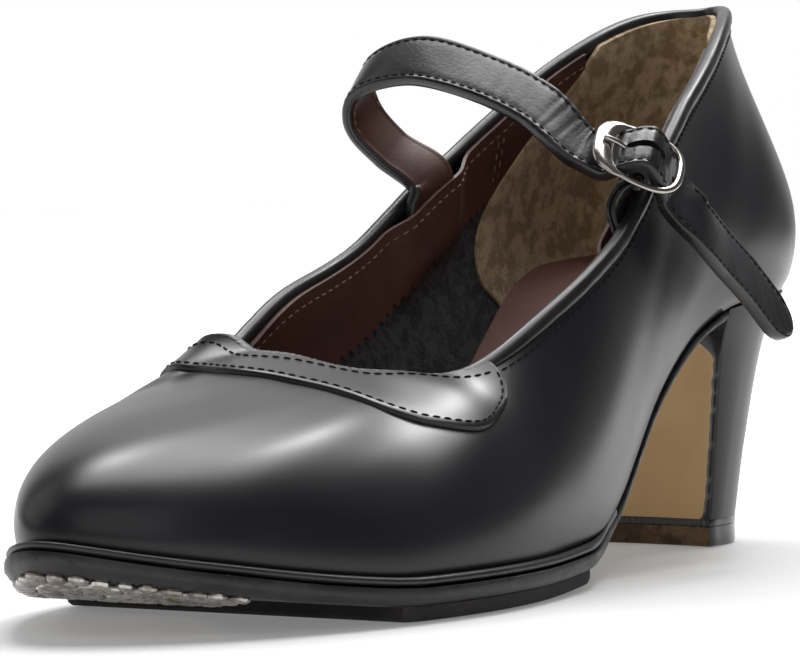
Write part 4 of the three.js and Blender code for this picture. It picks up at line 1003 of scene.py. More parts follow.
    def foot_bed(self) -> None:
        """The sock over its foam: two thin pieces dished to the foot."""
        for name, finish, slot, node, low, high, margin in (
                ("foam_pad", FOAM, "latex_foam", "heel_pad", 3.8, 5.1, 6.0),
                ("sock", SOCK, "brown_leather", "sock_lining", 5.3, 6.3, 5.0)):
            shape = Shape()
            d = np.concatenate([np.linspace(6.2, 14, 9), np.linspace(16, 218, 100),
                                np.linspace(220, 228.4, 8)])
            left, right = LAST.crossings(d, lambda q, m=margin: np.full_like(q, -m))
            rings = []
            for k, line in enumerate(d):
                across = np.linspace(-1, 1, 17)
                x = (left[k] + right[k]) / 2 + across * (right[k] - left[k]) / 2
                rise = 1.1 * np.abs(across) ** 3 + 0.12 * waves(np.full(17, line / 30) + across, 41)
                base = float(LAST.seam_height(line))
                upper = across_line(x, line, base + high + rise)
                lower = across_line(x[::-1], line, base + low + rise[::-1] * 0.8)
                rings.append(np.vstack([upper, lower]))
            shape.sweep(np.stack(rings))
            piece = keep(shape.make(name, [finish], smooth=50), "shoe", slot, node)

    def build(self) -> None:
        """Makes every lining."""
        self.brown_band()
        self.felt()
        self.heel_grip()
        self.foot_bed()


# ------------------------------------------------------------------ sole
@dataclass
class Sole:
    """The outsole with its welt bead, the rubber half sole and the nails under the toe."""

    nails_from: float = 193.5
    nails_slant: float = 24.0
    nail_pitch: float = 3.9
    nail_across: float = 3.7
    first_row: float = 3.2
    nail_clear: float = 3.3
    tread_inset: float = 1.6
    plate_inset: float = 2.2
    waist_from: float = 4.7
    waist_to: float = 16.45

    def rim(self, shape: Shape, s: Array, profile: Sequence[tuple], base: Callable[[Array], Array],
            rough: float) -> None:
        """Adds a bar along the outsole's outline.

        Args:
            shape: the piece that takes it.
            s: stations along it.
            profile: the bar's section as (out from the seam by d, up from the base by d or as a number).
            base: height of the base by d.
            rough: how uneven its outer edge is.
        """
        seam, out = LAST.seam(s), LAST.outward(s)
        run = run_along(seam)
        rings = []
        for k, (across, up) in enumerate(profile):
            p = seam + out * (across(-seam[:, 1]) + rough * waves(run / 3.1 + k * 0.3, 50 + k))[:, None]
            p[:, 2] = base(-p[:, 1]) + (up(-p[:, 1]) if callable(up) else up)
            rings.append(p)
        shape.sweep(np.stack(rings, 1))

    def outsole(self) -> Piece:
        """The outsole: a shaped edge round a flat sheet."""
        shape = Shape()
        s = np.linspace(2.86, 18.48, 620)
        edge = LAST.sole_edge
        thick = lambda d: LAST.sole_top(d) - LAST.sole_bottom(d)
        at = lambda out, share: ((lambda d: edge(d) + out), (lambda d: thick(d) * share))
        profile = [at(out, share) for out, share in (
            (-6.0, 0.0), (-1.6, 0.0), (-0.75, 0.16), (-0.3, 0.38), (-0.04, 0.46), (0.0, 0.6), (0.0, 0.86),
            (-0.12, 0.97), (-0.3, 1.0), (-6.0, 1.0))]
        self.rim(shape, s, profile, LAST.sole_bottom, rough=0.03)
        d = np.concatenate([np.linspace(46.1, 60, 10), np.linspace(62, 226, 90), np.linspace(227, 235.6, 12)])
        left, right = LAST.crossings(d, lambda q: LAST.sole_edge(q) - self.plate_inset)
        rings = []
        for k, line in enumerate(d):
            x = np.linspace(left[k], right[k], 9)
            low, high = LAST.sole_bottom(line) + 0.03, LAST.sole_top(line) - 0.03
            rings.append(np.vstack([across_line(x, line, high), across_line(x[::-1], line, low)]))
        shape.sweep(np.stack(rings))
        return keep(shape.make("leather_outsole", [SOLE], smooth=35), "shoe", "sole_leather", "outsole")

    def welt(self) -> Piece:
        """The rolled bead between upper and sole."""
        shape = Shape()
        s = np.linspace(self.waist_from, self.waist_to, 560)
        wide = lambda share: (lambda d: 0.1 + share * np.maximum(LAST.sole_edge(d) - 0.3, 0.25))
        angles = np.linspace(-0.5, 1.0, 10) * math.pi
        ring = [(wide(0.45 + 0.5 * math.cos(t)), 0.78 + 0.82 * math.sin(t)) for t in angles]
        ring.append((wide(-0.1), 0.0))
        self.rim(shape, s, ring, LAST.seam_height, rough=0.025)
        piece = shape.make("welt_bead", [EDGE_CALF], smooth=60)
        return keep(piece, "shoe", "black_leather", "welt")

    def half_sole(self) -> Piece:
        """The rubber half sole, its edge rounded by wear."""
        shape = Shape()
        first, last = LAST.shank_end + 6, self.nails_from - self.nail_clear
        d = np.concatenate([[first, first + 0.35], np.linspace(first + 1, last - 1, 60), [last - 0.35, last]])
        left, right = LAST.crossings(d, lambda q: LAST.sole_edge(q) - self.tread_inset)
        rings = []
        for k, line in enumerate(d):
            end = min(k, len(d) - 1 - k)
            drop = (0.7, 0.25)[end] if end < 2 else 0.0
            top = LAST.sole_bottom(line) - 0.05
            low = LAST.sole_bottom(line) - GAP - LAST.tread + drop
            edge = np.array([0, 0.25, 0.8])
            x = np.concatenate([left[k] + edge, np.linspace(left[k] + 4, right[k] - 4, 7),
                                (right[k] - edge)[::-1]])
            z = np.concatenate([low + edge[::-1], np.full(7, low), low + edge])
            rings.append(np.vstack([across_line(x, line, z), across_line(x[[-1, 0]], line, top)]))
        shape.sweep(np.stack(rings))
        return keep(shape.make("rubber_half_sole", [RUBBER], smooth=45), "shoe", "sole_rubber", "half_sole")

    def toe_nails(self) -> Piece:
        """Hammered nail heads side by side, row inside row from the edge of the toe."""
        draw = np.random.RandomState(7)
        shape = Shape()
        places: list[Array] = []
        for row in range(9):
            inset = self.first_row + row * self.nail_pitch
            s = np.linspace(6.5, 15.5, 1200)
            seam, out = LAST.seam(s), LAST.outward(s)
            line = seam + out * (LAST.sole_edge(-seam[:, 1]) - inset)[:, None]
            rear = self.nails_from + self.nails_slant * step(line[:, 0], -12, 22)
            line = line[-line[:, 1] > rear]
            if len(line) < 8:
                break
            spots, _ = even(line, np.tile([0, 0, 1.0], (len(line), 1)), self.nail_pitch)
            for spot in spots:
                if all(np.hypot(*(spot - p)[:2]) > self.nail_across * 0.86 for p in places):
                    places.append(spot)
        for place in places:
            self._nail(shape, place, draw)
        piece = shape.make("hammered_toe_nails", [STEEL, BRASS], smooth=32)
        return keep(piece, "shoe", "plain_steel", "toe_nails")

    def _nail(self, shape: Shape, place: Array, draw: np.random.RandomState) -> None:
        """One nail: a faceted domed head on the sole and its shank inside it."""
        x, y = place[0] + draw.uniform(-0.2, 0.2), place[1] + draw.uniform(-0.2, 0.2)
        d = -y
        base = float(LAST.sole_bottom(d))
        slope = float(LAST.sole_bottom(d + 1) - LAST.sole_bottom(d - 1)) / 2
        sides = 9
        turn = turn_angles(sides) + draw.uniform(0, 6)
        radius = self.nail_across / 2 * draw.uniform(0.92, 1.08)
        wobble = 1 + draw.uniform(-0.09, 0.09, sides)
        high = draw.uniform(1.15, 1.5)
        rings = []
        for reach, drop in ((0.28, -1.2), (0.28, 0.0), (0.9, 0.02), (1.0, 0.35), (0.93, 0.72), (0.6, 1.0)):
            r = radius * reach * (wobble if reach > 0.5 else 1)
            px, py = x + r * np.cos(turn), y + r * np.sin(turn)
            dent = draw.uniform(-0.07, 0.07, sides) if drop > 0.5 else 0
            rings.append(np.stack([px, py, base - drop * high - slope * (py - y) + dent], 1))
        shape.sweep(np.stack(rings), mark=1 if draw.uniform() < 0.07 else 0)

    def build(self) -> None:
        """Makes every piece of the sole."""
        self.outsole()
        self.welt()
        self.half_sole()
        self.toe_nails()


# ------------------------------------------------------------------ heel
@dataclass
class Heel:
    """The covered heel: black cover, tan breast, spacer, fibre lift and its nails."""

    foot_half: float = 17.5
    foot_back: float = 14.0
    foot_front: float = 38.5
    top_half: float = 25.4
    top_back: float = 0.8
    hollow: float = 1.5
    lift: float = 4.0
    spacer: float = 1.2
    cover: float = 0.9
    border: float = 1.5
    arch: float = 0.9
    arch_from: float = 0.75
    tall: float = 47.0

    def __post_init__(self) -> None:
        """Works out the flare of the heel's back and the heights of its layers."""
        self.flare = curve_through([(0, 0), (0.33, 0.2), (0.8, 0.6), (1, 1)])
        self.base = self.lift + 2 * GAP + self.spacer

    def top(self, d: Array) -> Array:
        """Height of the heel's seat."""
        return LAST.seam_height(d) - 0.5

    def outline(self, share: float, inset: float = 0.0, points: int = 61) -> tuple[Array, Array]:
        """Round part of a level section as x and d, from the outer front corner round the back."""
        flare = float(self.flare(share))
        half = mix(self.foot_half, self.top_half, flare) - inset
        back = mix(self.foot_back, self.top_back, flare) + inset
        deep = min(self.front(share) - back - 2, half * 1.05)
        angle = np.linspace(0, math.pi, points)
        power = 2 / 2.3
        x = half * np.sign(np.cos(angle)) * np.abs(np.cos(angle)) ** power
        d = back + deep - deep * np.abs(np.sin(angle)) ** power
        return x, d

    def front(self, share: float) -> float:
        """d of the heel's front edge at a share of its height."""
        return mix(self.foot_front, LAST.breast_at, share ** 2)

    def cover_piece(self) -> Piece:
        """The black leather round the block, turned round the front edges."""
        shape = Shape()
        rings = []
        for share in np.concatenate([[0, 0.01], np.linspace(0.03, 1, 40)]):
            x, d = self.outline(share)
            xi, di = self.outline(share, self.cover)
            front = self.front(share) - 0.05
            turn = 0.25
            outer_x = np.concatenate([[x[0] - self.border], [x[0] - turn], [x[0]], x, [x[-1]], [x[-1] + turn],
                                      [x[-1] + self.border]])
            outer_d = np.concatenate([[front - 0.1], [front], [front - turn], d, [front - turn], [front],
                                      [front - 0.1]])
            inner_x = np.concatenate([[xi[0]] * 3, xi, [xi[-1]] * 3])
            rim = front - self.cover - np.array([0, 0.1, 0.2])
            inner_d = np.concatenate([rim, di, rim[::-1]])
            level = lambda q: mix(self.base - 0.25, self.top(q), share)
            ripple = 0.02 * waves(outer_x / 14 + share * 0.6, 61)
            outer = np.stack([outer_x, -(outer_d - ripple), level(outer_d)], 1)
            inner = np.stack([inner_x, -inner_d, level(inner_d)], 1)
            rings.append(np.vstack([outer, inner[::-1]]))
        shape.sweep(np.stack(rings))
        piece = shape.make("heel_cover_leather", [CALF], smooth=45)
        return keep(piece, "shoe", "black_leather", "heel_cover")

    def breast(self) -> Piece:
        """The natural leather down the front of the heel, its rounded border painted black."""
        shape = Shape()
        bend = self.arch - 0.15 * np.cos(np.linspace(0, math.pi / 2, 18))
        rise = np.unique(np.concatenate([np.linspace(0, 0.75, 60), bend, np.linspace(self.arch, 1, 5)]))
        inner = np.linspace(-1, 1, 31)
        rows = []
        for share in rise:
            x, _ = self.outline(share)
            full = x[0] - 0.3
            ragged = 0.09 * float(waves(np.array([share * 7.0]), 71)[0])
            clear = max(self._clear(full - self.border + ragged, share), 0.05)
            brim = np.array([0.0, 0.3, 0.75])
            left = -full + (full - clear) * brim
            px = np.concatenate([left, inner * clear, -left[::-1]])
            lift = np.concatenate([[0, 0.35, 0.3], np.zeros(31), [0.3, 0.35, 0]])
            hollow = self.hollow * (1 - share * 0.5)
            d = self.front(share) - 0.05 - hollow * (1 - np.abs(px / full) ** 2) + 0.12 + lift
            rows.append(np.stack([px, -d, mix(self.base - 0.2, self.top(d) - 0.2, share)], 1))
        face = np.stack(rows)
        back = face + np.array([0, 1.0, 0])
        shape.slab(face, back)
        piece = shape.make("heel_breast_leather", [TAN, INKED_EDGE], smooth=45)
        for facet in piece.data.polygons:
            spots = np.array([piece.data.vertices[i].co for i in facet.vertices]) / MM - SHIFT
            share = (spots[:, 2].mean() - self.base) / (float(self.top(-spots[:, 1].mean())) - self.base)
            half = self.outline(float(np.clip(share, 0, 1)))[0][0] - 0.3 - self.border
            painted = abs(spots[:, 0].mean()) > self._clear(half, share) or share > self.arch - 0.004
            facet.material_index = int(painted)
        return keep(piece, "shoe", "tan_leather", "breast_flap")

    def _clear(self, half: float, share: float) -> float:
        """Half width of the natural leather between its painted borders, drawn in under the arch."""
        top = np.clip((share - self.arch_from) / (self.arch - self.arch_from), 0, 1)
        drawn_in = (1 - top ** 2.6) ** (1 / 2.6) * (1 - 0.18 * top)
        return (half - 0.9 * math.exp(-share * self.tall / 0.8)) * drawn_in

    def layers(self) -> None:
        """The thin spacer and the fibre lift under the heel."""
        for name, low, high, finishes, slot, node, grown in (
                ("heel_spacer_layer", self.lift + 0.15, self.base - 0.25, [INKED_EDGE, INKED_EDGE],
                 "sole_leather", "heel_spacer", 0.12),
                ("heel_top_lift", 0.0, self.lift, [INKED_EDGE, LIFT], "lift_fibre", "heel_lift", 0.0)):
            shape = Shape()
            x, d = self.outline(0.0, -grown)
            front = self.foot_front + grown * 0.5
            fx = np.linspace(x[-1] + 0.6, x[0] - 0.6, 79)
            fd = front - self.hollow * (1 - np.abs(fx / x[0]) ** 2)
            corner = np.array([x[0], x[0], x[0] - 0.35]), np.array([front - 3, front - 0.4, front - 0.02])
            ring_x = np.concatenate([corner[0][::-1], x, -corner[0], fx])
            ring_d = np.concatenate([corner[1][::-1], d, corner[1], fd])
            count = len(ring_x)
            rings = []
            heights = [(low + 0.35, 0.0), (low, 0.3)] if name == "heel_top_lift" else [(low, 0.1)]
            heights = sorted(heights, key=lambda h: h[0]) + [(mix(low, high, 0.5), 0.0), (high, 0.08)]
            for z, inset in heights:
                scale = 1 - inset / self.foot_half
                cx = ring_x * scale
                cd = (ring_d - 27) * scale + 27
                rough = 0.07 * waves(np.arange(count) * 0.37 + z * 1.7, 81)
                rings.append(np.stack([cx, -(cd + rough * (ring_d > 36)), np.full(count, z)], 1))
            marks = [0] * (len(x) + 5) + [1] * (count - len(x) - 5)
            shape.sweep(np.stack(rings), marks=marks)
            if name == "heel_top_lift":
                self._fibres(shape, fx, fd)
            keep(shape.make(name, finishes, smooth=50), "shoe", slot, node)

    def _fibres(self, shape: Shape, fx: Array, fd: Array) -> None:
        """Short frayed fibres along the lower front edge of the lift."""
        draw = np.random.RandomState(19)
        for _ in range(150):
            k = draw.randint(0, len(fx))
            start = np.array([fx[k] + draw.uniform(-0.2, 0.2), -(fd[k] + 0.02), draw.uniform(0.3, 1.6)])
            lean = np.array([draw.uniform(-0.5, 0.5), -draw.uniform(0.15, 0.45), -draw.uniform(0.1, 0.6)])
            reach = draw.uniform(0.4, 1.0)
            spine = np.stack([start, start + lean * reach * 0.55, start + lean * reach + [0, 0.05, -0.05]])
            spine[:, 2] = np.maximum(spine[:, 2], 0.06)
            angles = turn_angles(4)
            girth = np.array([0.09, 0.07, 0.02])
            circle = np.stack([np.cos(angles), 0 * angles, np.sin(angles)], 1)
            rings = spine[:, None] + circle[None] * girth[:, None, None]
            shape.sweep(rings, mark=1)

    def build(self) -> None:
        """Makes every piece of the heel."""
        self.cover_piece()
        self.breast()
        self.layers()


# ------------------------------------------------------------------ strap and buckle
@dataclass
class Buckle:
    """The buckle's own directions, its frame, centre bar and prong."""

    centre: tuple[float, float, float] = (27, -88, 79)
    half: float = 7.5
    bar_radius: float = 0.8
    bar_drop: float = 1.0
    inside: float = 6.9
    wire: float = 0.75
    wire_deep: float = 0.6
    wide: float = 2.05
    thick: float = 0.85
    prong_half: float = 0.75

    def __post_init__(self) -> None:
        """Works out the buckle's axes."""
        self.along = unit(np.array([0.765, 0.517, -0.383]))
        rough = unit(np.array([-0.21, 0.76, 0.61]))
        self.out = unit(np.cross(self.along, rough))
        self.across = np.cross(self.out, self.along)

    def at(self, along: Array, up: Array, across: Array = 0.0) -> Array:
        """Points given by how far they lie along, out of and across the buckle."""
        along, up, across = np.broadcast_arrays(*(np.asarray(v, float) for v in (along, up, across)))
        return (np.array(self.centre) + along[..., None] * self.along + up[..., None] * self.out
                + across[..., None] * self.across)

    def frame_piece(self) -> Piece:
        """The frame with its wide domed front bar, and the bar across its middle."""
        shape = Shape()
        turns = np.linspace(0, 2 * math.pi, 121)[:-1]
        side = self.inside + self.wire
        squareness = 2.75
        power = lambda c, p: np.sign(c) * np.abs(c) ** p
        x = self.half * power(np.cos(turns), 2 / squareness)
        y = side * power(np.sin(turns), 2 / squareness)
        ox, oy = power(x / self.half, squareness - 1), power(y / side, squareness - 1)
        size = np.hypot(ox, oy)
        ox, oy = ox / size, oy / size
        front = step(-x / self.half, 0.45, 1.0)
        half, thick = mix(self.wire, self.wide, front), mix(self.wire_deep, self.thick, front)
        grown = 0.75 * (half - self.wire)
        bow = 0.5 * (1 - (y / side) ** 2) * front
        ring = []
        for angle in np.linspace(0, 2 * math.pi, 17)[:-1]:
            c, u = math.cos(angle), math.sin(angle)
            spread = c * half + grown
            rise = thick * (u if u > 0 else u * 0.55) + bow * 0.4
            ring.append(self.at(x + ox * spread, rise, y + oy * spread))
        shape.sweep(np.stack(ring, 1), closed=True)
        spots = np.linspace(-side, side, 9)
        angles = turn_angles(14)
        around = self.bar_radius * np.cos(angles), -self.bar_drop + self.bar_radius * np.sin(angles)
        shape.sweep(np.stack([self.at(*around, w) for w in spots]))
        return keep(shape.make("nickel_buckle", [NICKEL], smooth=60), "buckle", "nickel", "buckle_frame")

    def prong_piece(self) -> Piece:
        """The prong: an eye round the bar and a tapered pin that rests on the front bar."""
        shape = Shape()
        rest = self.thick + 0.3
        spine = [(-0.2, 0.35), (-1.6, 0.55), (-3.6, 0.85), (-5.4, rest + 0.25), (-7.0, rest + 0.5),
                 (-8.3, rest + 0.55), (-9.0, rest + 0.35)]
        smooth = open_spline(np.array([[a, u, 0] for a, u in spine], float))(np.linspace(0, 1, 30))
        angles = turn_angles(12)
        rings = []
        for k, (a, u, _) in enumerate(smooth):
            share = k / 29
            blunt = 1 if share < 0.93 else math.sqrt(max(0.1, 1 - ((share - 0.93) / 0.075) ** 2))
            wide = self.prong_half * (1 - 0.25 * share) * blunt
            rings.append(self.at(a, u + wide * 0.8 * np.sin(angles), wide * np.cos(angles)))
        shape.sweep(np.stack(rings))
        turns = turn_angles(28)
        eye = []
        for t in turns:
            r = self.bar_radius + 0.6
            eye.append(self.at((r + 0.35 * np.cos(angles)) * math.cos(t),
                               -self.bar_drop + (r + 0.35 * np.cos(angles)) * math.sin(t),
                               self.prong_half * np.sin(angles)))
        shape.sweep(np.stack(eye), closed=True)
        return keep(shape.make("nickel_prong", [NICKEL], smooth=60), "prong", "nickel", "buckle_prong")

    def build(self) -> None:
        """Makes the buckle's metal."""
        self.frame_piece()
        self.prong_piece()


@dataclass
class Strap:
    """The instep strap: two leathers sewn together, and the tab that holds the buckle."""

    buckle: Buckle
    width: float = 12.0
    outer: float = 1.1
    lining: float = 0.8
    ply: float = 0.45
    root: float = 17.4
    tab_root: float = 4.28
    root_depth: float = 11.0
    tab_half: float = 4.5
    row_share: float = 0.8
    slot_middle: float = -1.5
    slot_half: float = 3.6
    slot_wide: float = 0.95
    hole_radius: float = 1.05
    holes_at: tuple[float, float] = (12.5, 13.8)
    stitch: Stitching = field(default_factory=lambda: Stitching(pitch=2.0, length=1.45, radius=0.19))

    def __post_init__(self) -> None:
        """Works out the strap's line."""
        root_thick = self.outer + self.lining + self.ply
        self.face_depth = LAST.upper + 0.45 + GAP + 0.6
        self.sewn_depth = self.face_depth + root_thick / 2
        line, across = self._line()
        self.line, self.across = open_spline(line), open_spline(across)
        self.count = len(line) - 1
        self.free_from = 3.7 / self.count

    def root_at(self, root: float, drop: float) -> Array:
        """A point of a sewn-in end, a drop below the top edge."""
        return LAST.skin(root, LAST.height(root) - drop, self.sewn_depth)

    def across_root(self, root: float) -> Array:
        """Direction along the top edge at a root."""
        top = lambda s: LAST.skin(s, LAST.height(s), 0.0)
        return unit(top(root + 0.2) - top(root - 0.2))

    def _line(self) -> tuple[Array, Array]:
        """Points of the strap's line and the directions across it."""
        b = self.buckle
        over = -b.bar_drop + b.bar_radius + 2 * GAP + 1.0 + self.lining + self.ply / 2 + 0.3
        under = -0.8 - 1.15 - self.outer - self.ply / 2
        wide = b.across
        free = [([-31.6, -83.5, 82], [0, 0.9, 0.43]), ([-35.2, -88.5, 89], [0, 0.85, 0.52]),
                ([-33, -91.5, 95.3], [-0.1, 0.77, 0.6]), ([-21.5, -92.8, 98.8], [0, 0.68, 0.73]),
                ([-7, -93.5, 95.7], [0.13, 0.78, 0.6]), ([7, -93.7, 89.4], [0.1, 0.82, 0.55]),
                (b.at(-12, under + 0.1), wide), (b.at(-6.6, under), wide), (b.at(-3.5, under + 3.4), wide),
                (b.at(0, over), wide), (b.at(3.5, under + 3.4), wide), (b.at(6.8, under - 0.8), wide),
                ([34.4, -79.8, 66.8], [-0.25, 0.58, 0.77]), ([35.2, -69.5, 60.4], [-0.28, 0.52, 0.81]),
                ([36.2, -60.5, 54.8], [-0.28, 0.52, 0.81]), ([37.4, -53.2, 49.2], [-0.27, 0.53, 0.8]),
                ([38.7, -47.5, 45], [-0.26, 0.55, 0.79])]
        side = self.across_root(self.root)
        whole = [(self.root_at(self.root, drop), side) for drop in (self.root_depth, 4, -1.6)] + free
        return np.array([p for p, _ in whole], float), np.array([w for _, w in whole], float)

    def frames(self, u: Array) -> tuple[Array, Array, Array]:
        """Point, side and face directions along the strap at parameters u."""
        point = self.line(u)
        forward = unit(self.line(np.clip(u + 1e-3, 0, 1)) - self.line(np.clip(u - 1e-3, 0, 1)))
        side = self.across(u)
        side = unit(side - forward * (side * forward).sum(-1, keepdims=True))
        return point, side, np.cross(forward, side)

    def half_at(self, u: Array) -> Array:
        """Half the strap's width, rounded off at the tip."""
        tip = (self.count - 1.2) / self.count
        past = np.clip((u - tip) / (1 - tip), 0, 1)
        return self.width / 2 * np.sqrt(np.maximum(1 - past ** 2 * 0.96, 0.012))

    def strip(self, shape: Shape, u: Array, profile: Sequence[tuple[float, float]], marks: Sequence[int],
              lift: Callable[[Array, float], Array]) -> None:
        """Adds one leather of the strap.

        Args:
            shape: the piece that takes it.
            u: parameters along the strap's line.
            profile: its section as (share of the half width, height over the strap's line).
            marks: finish of each strip of the section.
            lift: extra height by parameter and share of the half width.
        """
        point, side, face = self.frames(u)
        half = self.half_at(u)
        ring = [point + side * (half * w)[:, None] + face * (n + lift(u, w))[:, None] for w, n in profile]
        shape.sweep(np.stack(ring, 1), marks=marks)

    def creases(self, u: Array, w: float) -> Array:
        """Small dents across the leather where it bends, mostly before the buckle."""
        at = u * self.count
        near = np.exp(-((at - 8.0) / 0.9) ** 2) + 0.5 * np.exp(-((at - 12.4) / 0.7) ** 2)
        wave = waves(at * 5.5 + w * 0.5, 91)
        return -0.1 * near * np.maximum(wave, 0) + 0.02 * waves(u * 30 + w, 92)

    def body_piece(self) -> Piece:
        """The strap in two lengths that meet face to face: the end at its root and the free rest."""
        top, low = self.ply / 2 + self.outer, -self.ply / 2 - self.lining
        finishes = [STRAP_CALF, BROWN, INKED_EDGE]
        root = Shape()
        self._plies(root, np.linspace(0, self.free_from, 70), top, low)
        root_piece = root.make("instep_strap_end", finishes, smooth=55)
        start = placed(self.root_at(self.root, 4.0))
        end = placed(self.line(np.array([self.free_from]))[0])
        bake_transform(root_piece)
        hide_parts("strap_root")
        rest = Shape()
        u = np.concatenate([np.linspace(self.free_from, 0.42, 90)[:-1], np.linspace(0.42, 0.78, 240)[:-1],
                            np.linspace(0.78, 0.955, 90)[:-1],
                            0.955 + 0.045 * np.sin(np.linspace(0, math.pi / 2, 26))])
        self._plies(rest, u, top, low)
        piece = rest.make("instep_strap", finishes, smooth=55)
        self._punch(piece)
        keep(piece, "strap", "black_leather", "strap_outer", "strap_lining")
        sewn = Shape()
        self._sew(sewn, top, low)
        return keep(sewn.make("instep_strap_thread", [THREAD, PALE_THREAD]), "strap", "black_leather")

    def _plies(self, shape: Shape, u: Array, top: float, low: float) -> None:
        """Adds both leathers of the strap over a run of its line."""
        left = [(-1.0, 0.12), (-1.005, 0.6), (-0.975, top - 0.12), (-0.92, top + 0.06), (-0.85, top + 0.05),
                (-0.8, top - 0.05), (-0.74, top + 0.04), (-0.5, top + 0.12), (-0.25, top + 0.16)]
        crown = (left + [(0, top + 0.18)] + [(-w, n) for w, n in reversed(left)]
                 + [(0.5, 0.1), (0, 0.1), (-0.5, 0.1)])
        self.strip(shape, u, crown, [2] * 3 + [0] * 13 + [2] * 2 + [0] * 4, self.creases)
        right = [(0.985, low + 0.25), (0.94, low), (0.82, low + 0.04), (0.78, low + 0.1), (0.72, low)]
        flesh = ([(-0.985, 0.02), (-0.5, 0.04), (0, 0.04), (0.5, 0.04), (0.985, 0.02)] + right
                 + [(0, low - 0.06)] + [(-w, n) for w, n in reversed(right)])
        self.strip(shape, u, flesh, [1] * 4 + [2] * 2 + [1] * 8 + [2] * 2,
                   lambda q, w: 0.5 * self.creases(q, w))

    def _sew(self, shape: Shape, top: float, low: float) -> None:
        """Both edges' stitches on both faces."""
        u = np.linspace(self.free_from, 0.978, 900)
        point, side, face = self.frames(u)
        half = self.half_at(u)
        offset = point - np.array(self.buckle.centre)
        along = offset @ self.buckle.along
        near = np.linalg.norm(offset, axis=1) < 14
        covered = near & (np.abs(np.abs(along) - 7.2) < 2.0)
        for w in (-self.row_share, self.row_share):
            for height, way, mark in ((top - 0.03, 1, 0), (low + 0.08, -1, 1)):
                lift = self.creases(u, w) * (1 if way > 0 else 0.5)
                path = point + side * (half * w)[:, None] + face * (height + lift)[:, None]
                for run in self._runs(~covered if way > 0 else np.ones(len(u), bool)):
                    self.stitch.sew(shape, path[run], face[run] * way, mark)

    @staticmethod
    def _runs(shown: Array) -> list[slice]:
        """The unbroken stretches of a row of yes and no."""
        edges = np.flatnonzero(np.diff(np.concatenate([[0], shown.astype(int), [0]])))
        return [slice(a, b) for a, b in zip(edges[::2], edges[1::2]) if b - a > 4]

    def _punch(self, piece: Piece) -> None:
        """Cuts the prong's slot and the spare holes right through the strap."""
        b = self.buckle
        cutters = Shape()
        angles = turn_angles(20)
        slot_x = self.slot_middle + self.slot_half * np.sign(np.cos(angles)) * np.abs(np.cos(angles)) ** 0.7
        rings = [b.at(slot_x, z, self.slot_wide * np.sin(angles)) for z in (-7, 7)]
        cutters.sweep(np.stack(rings))
        round_x, round_y = self.hole_radius * np.cos(angles), self.hole_radius * np.sin(angles)
        for place in self.holes_at:
            point, side, face = self.frames(np.array([place / self.count]))
            forward = np.cross(side, face)
            rings = [point + side * round_x[:, None] + forward * round_y[:, None] + face * z
                     for z in (-3.5, 3.5)]
            cutters.sweep(np.stack(rings))
        tool = cutters.make("strap_punch", [INKED_EDGE])
        cut = piece.modifiers.new("holes", "BOOLEAN")
        cut.operation, cut.object, cut.solver, cut.use_self = "DIFFERENCE", tool, "EXACT", True
        bpy.context.view_layer.update()
        evaluated = piece.evaluated_get(bpy.context.evaluated_depsgraph_get())
        mesh = bpy.data.meshes.new_from_object(evaluated)
        piece.modifiers.clear()
        piece.data = mesh
        bpy.data.objects.remove(tool, do_unlink=True)
        mesh.set_sharp_from_angle(angle=math.radians(50))

    def tab_piece(self) -> Piece:
        """The tab folded round the bar, its two plies sewn into the outer side."""
        b = self.buckle
        shape = Shape()
        rise = np.linspace(0, 1, 40)
        base = [self.root_at(self.tab_root, drop) for drop in (self.root_depth, 4, -0.5)]
        points = np.array(base + [b.at(-0.3, -4.6), b.at(0, -b.bar_drop - 1.5)])
        side_root = -self.across_root(self.tab_root)
        sides = np.array([side_root] * 3 + [b.across] * 2)
        line, across = open_spline(points), open_spline(sides)
        centre = line(rise)
        forward = unit(np.gradient(centre, axis=0))
        side = across(rise)
        side = unit(side - forward * (side * forward).sum(-1, keepdims=True))
        face = np.cross(forward, side)
        half = self.tab_half
        section = ((-1, -0.42), (-1, 0.3), (-0.95, 0.46), (0, 0.5), (0.95, 0.46), (1, 0.3), (1, -0.42),
                   (0, -0.45))
        for way in (-1, 1):
            ring = [centre + side * (half * w) + face * (way * (0.62 + n)) for w, n in section]
            shape.sweep(np.stack(ring, 1))
        turns = np.linspace(-0.62 * math.pi, 1.62 * math.pi, 40)
        for low, high in ((-half, -1.35), (1.35, half)):
            rings = []
            for t in turns:
                rings.append(np.stack([b.at(r * math.cos(t), -b.bar_drop + r * math.sin(t), w)
                                       for r, w in ((1.08, low), (1.98, low + 0.05), (2.05, low + 0.3),
                                                    (2.05, high - 0.3), (1.98, high - 0.05), (1.08, high))]))
            shape.sweep(np.stack(rings))
        shown = slice(14, 34)
        for w in (-0.78, 0.78):
            for way in (-1, 1):
                path = centre[shown] + side[shown] * (half * w) + face[shown] * (way * 1.12)
                self.stitch.sew(shape, path, face[shown] * way, 1)
        piece = shape.make("buckle_fold_tab", [STRAP_CALF, THREAD], smooth=55)
        tuple(placed(points[2]))
        tuple(placed(points[3]))
        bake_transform(piece)
        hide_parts("buckle_tab")
        LOG.info("buckle_fold_tab: %d faces", len(piece.data.polygons))
        return piece

    def build(self) -> None:
        """Makes the strap and the tab."""
        self.body_piece()
        self.tab_piece()


# ------------------------------------------------------------------ carried-over pieces, studio
HIDDEN_FINISHES: dict[str, Finish] = {
    "toe_puff": CLOTH, "heel_counter": CLOTH, "insole_board": BOARD, "bottom_filler": CORK, "shank": STEEL,
    "heel_block": BEECH, "heel_screw": STEEL, **{f"heel_nail_{k}": STEEL for k in range(1, 7)},
}


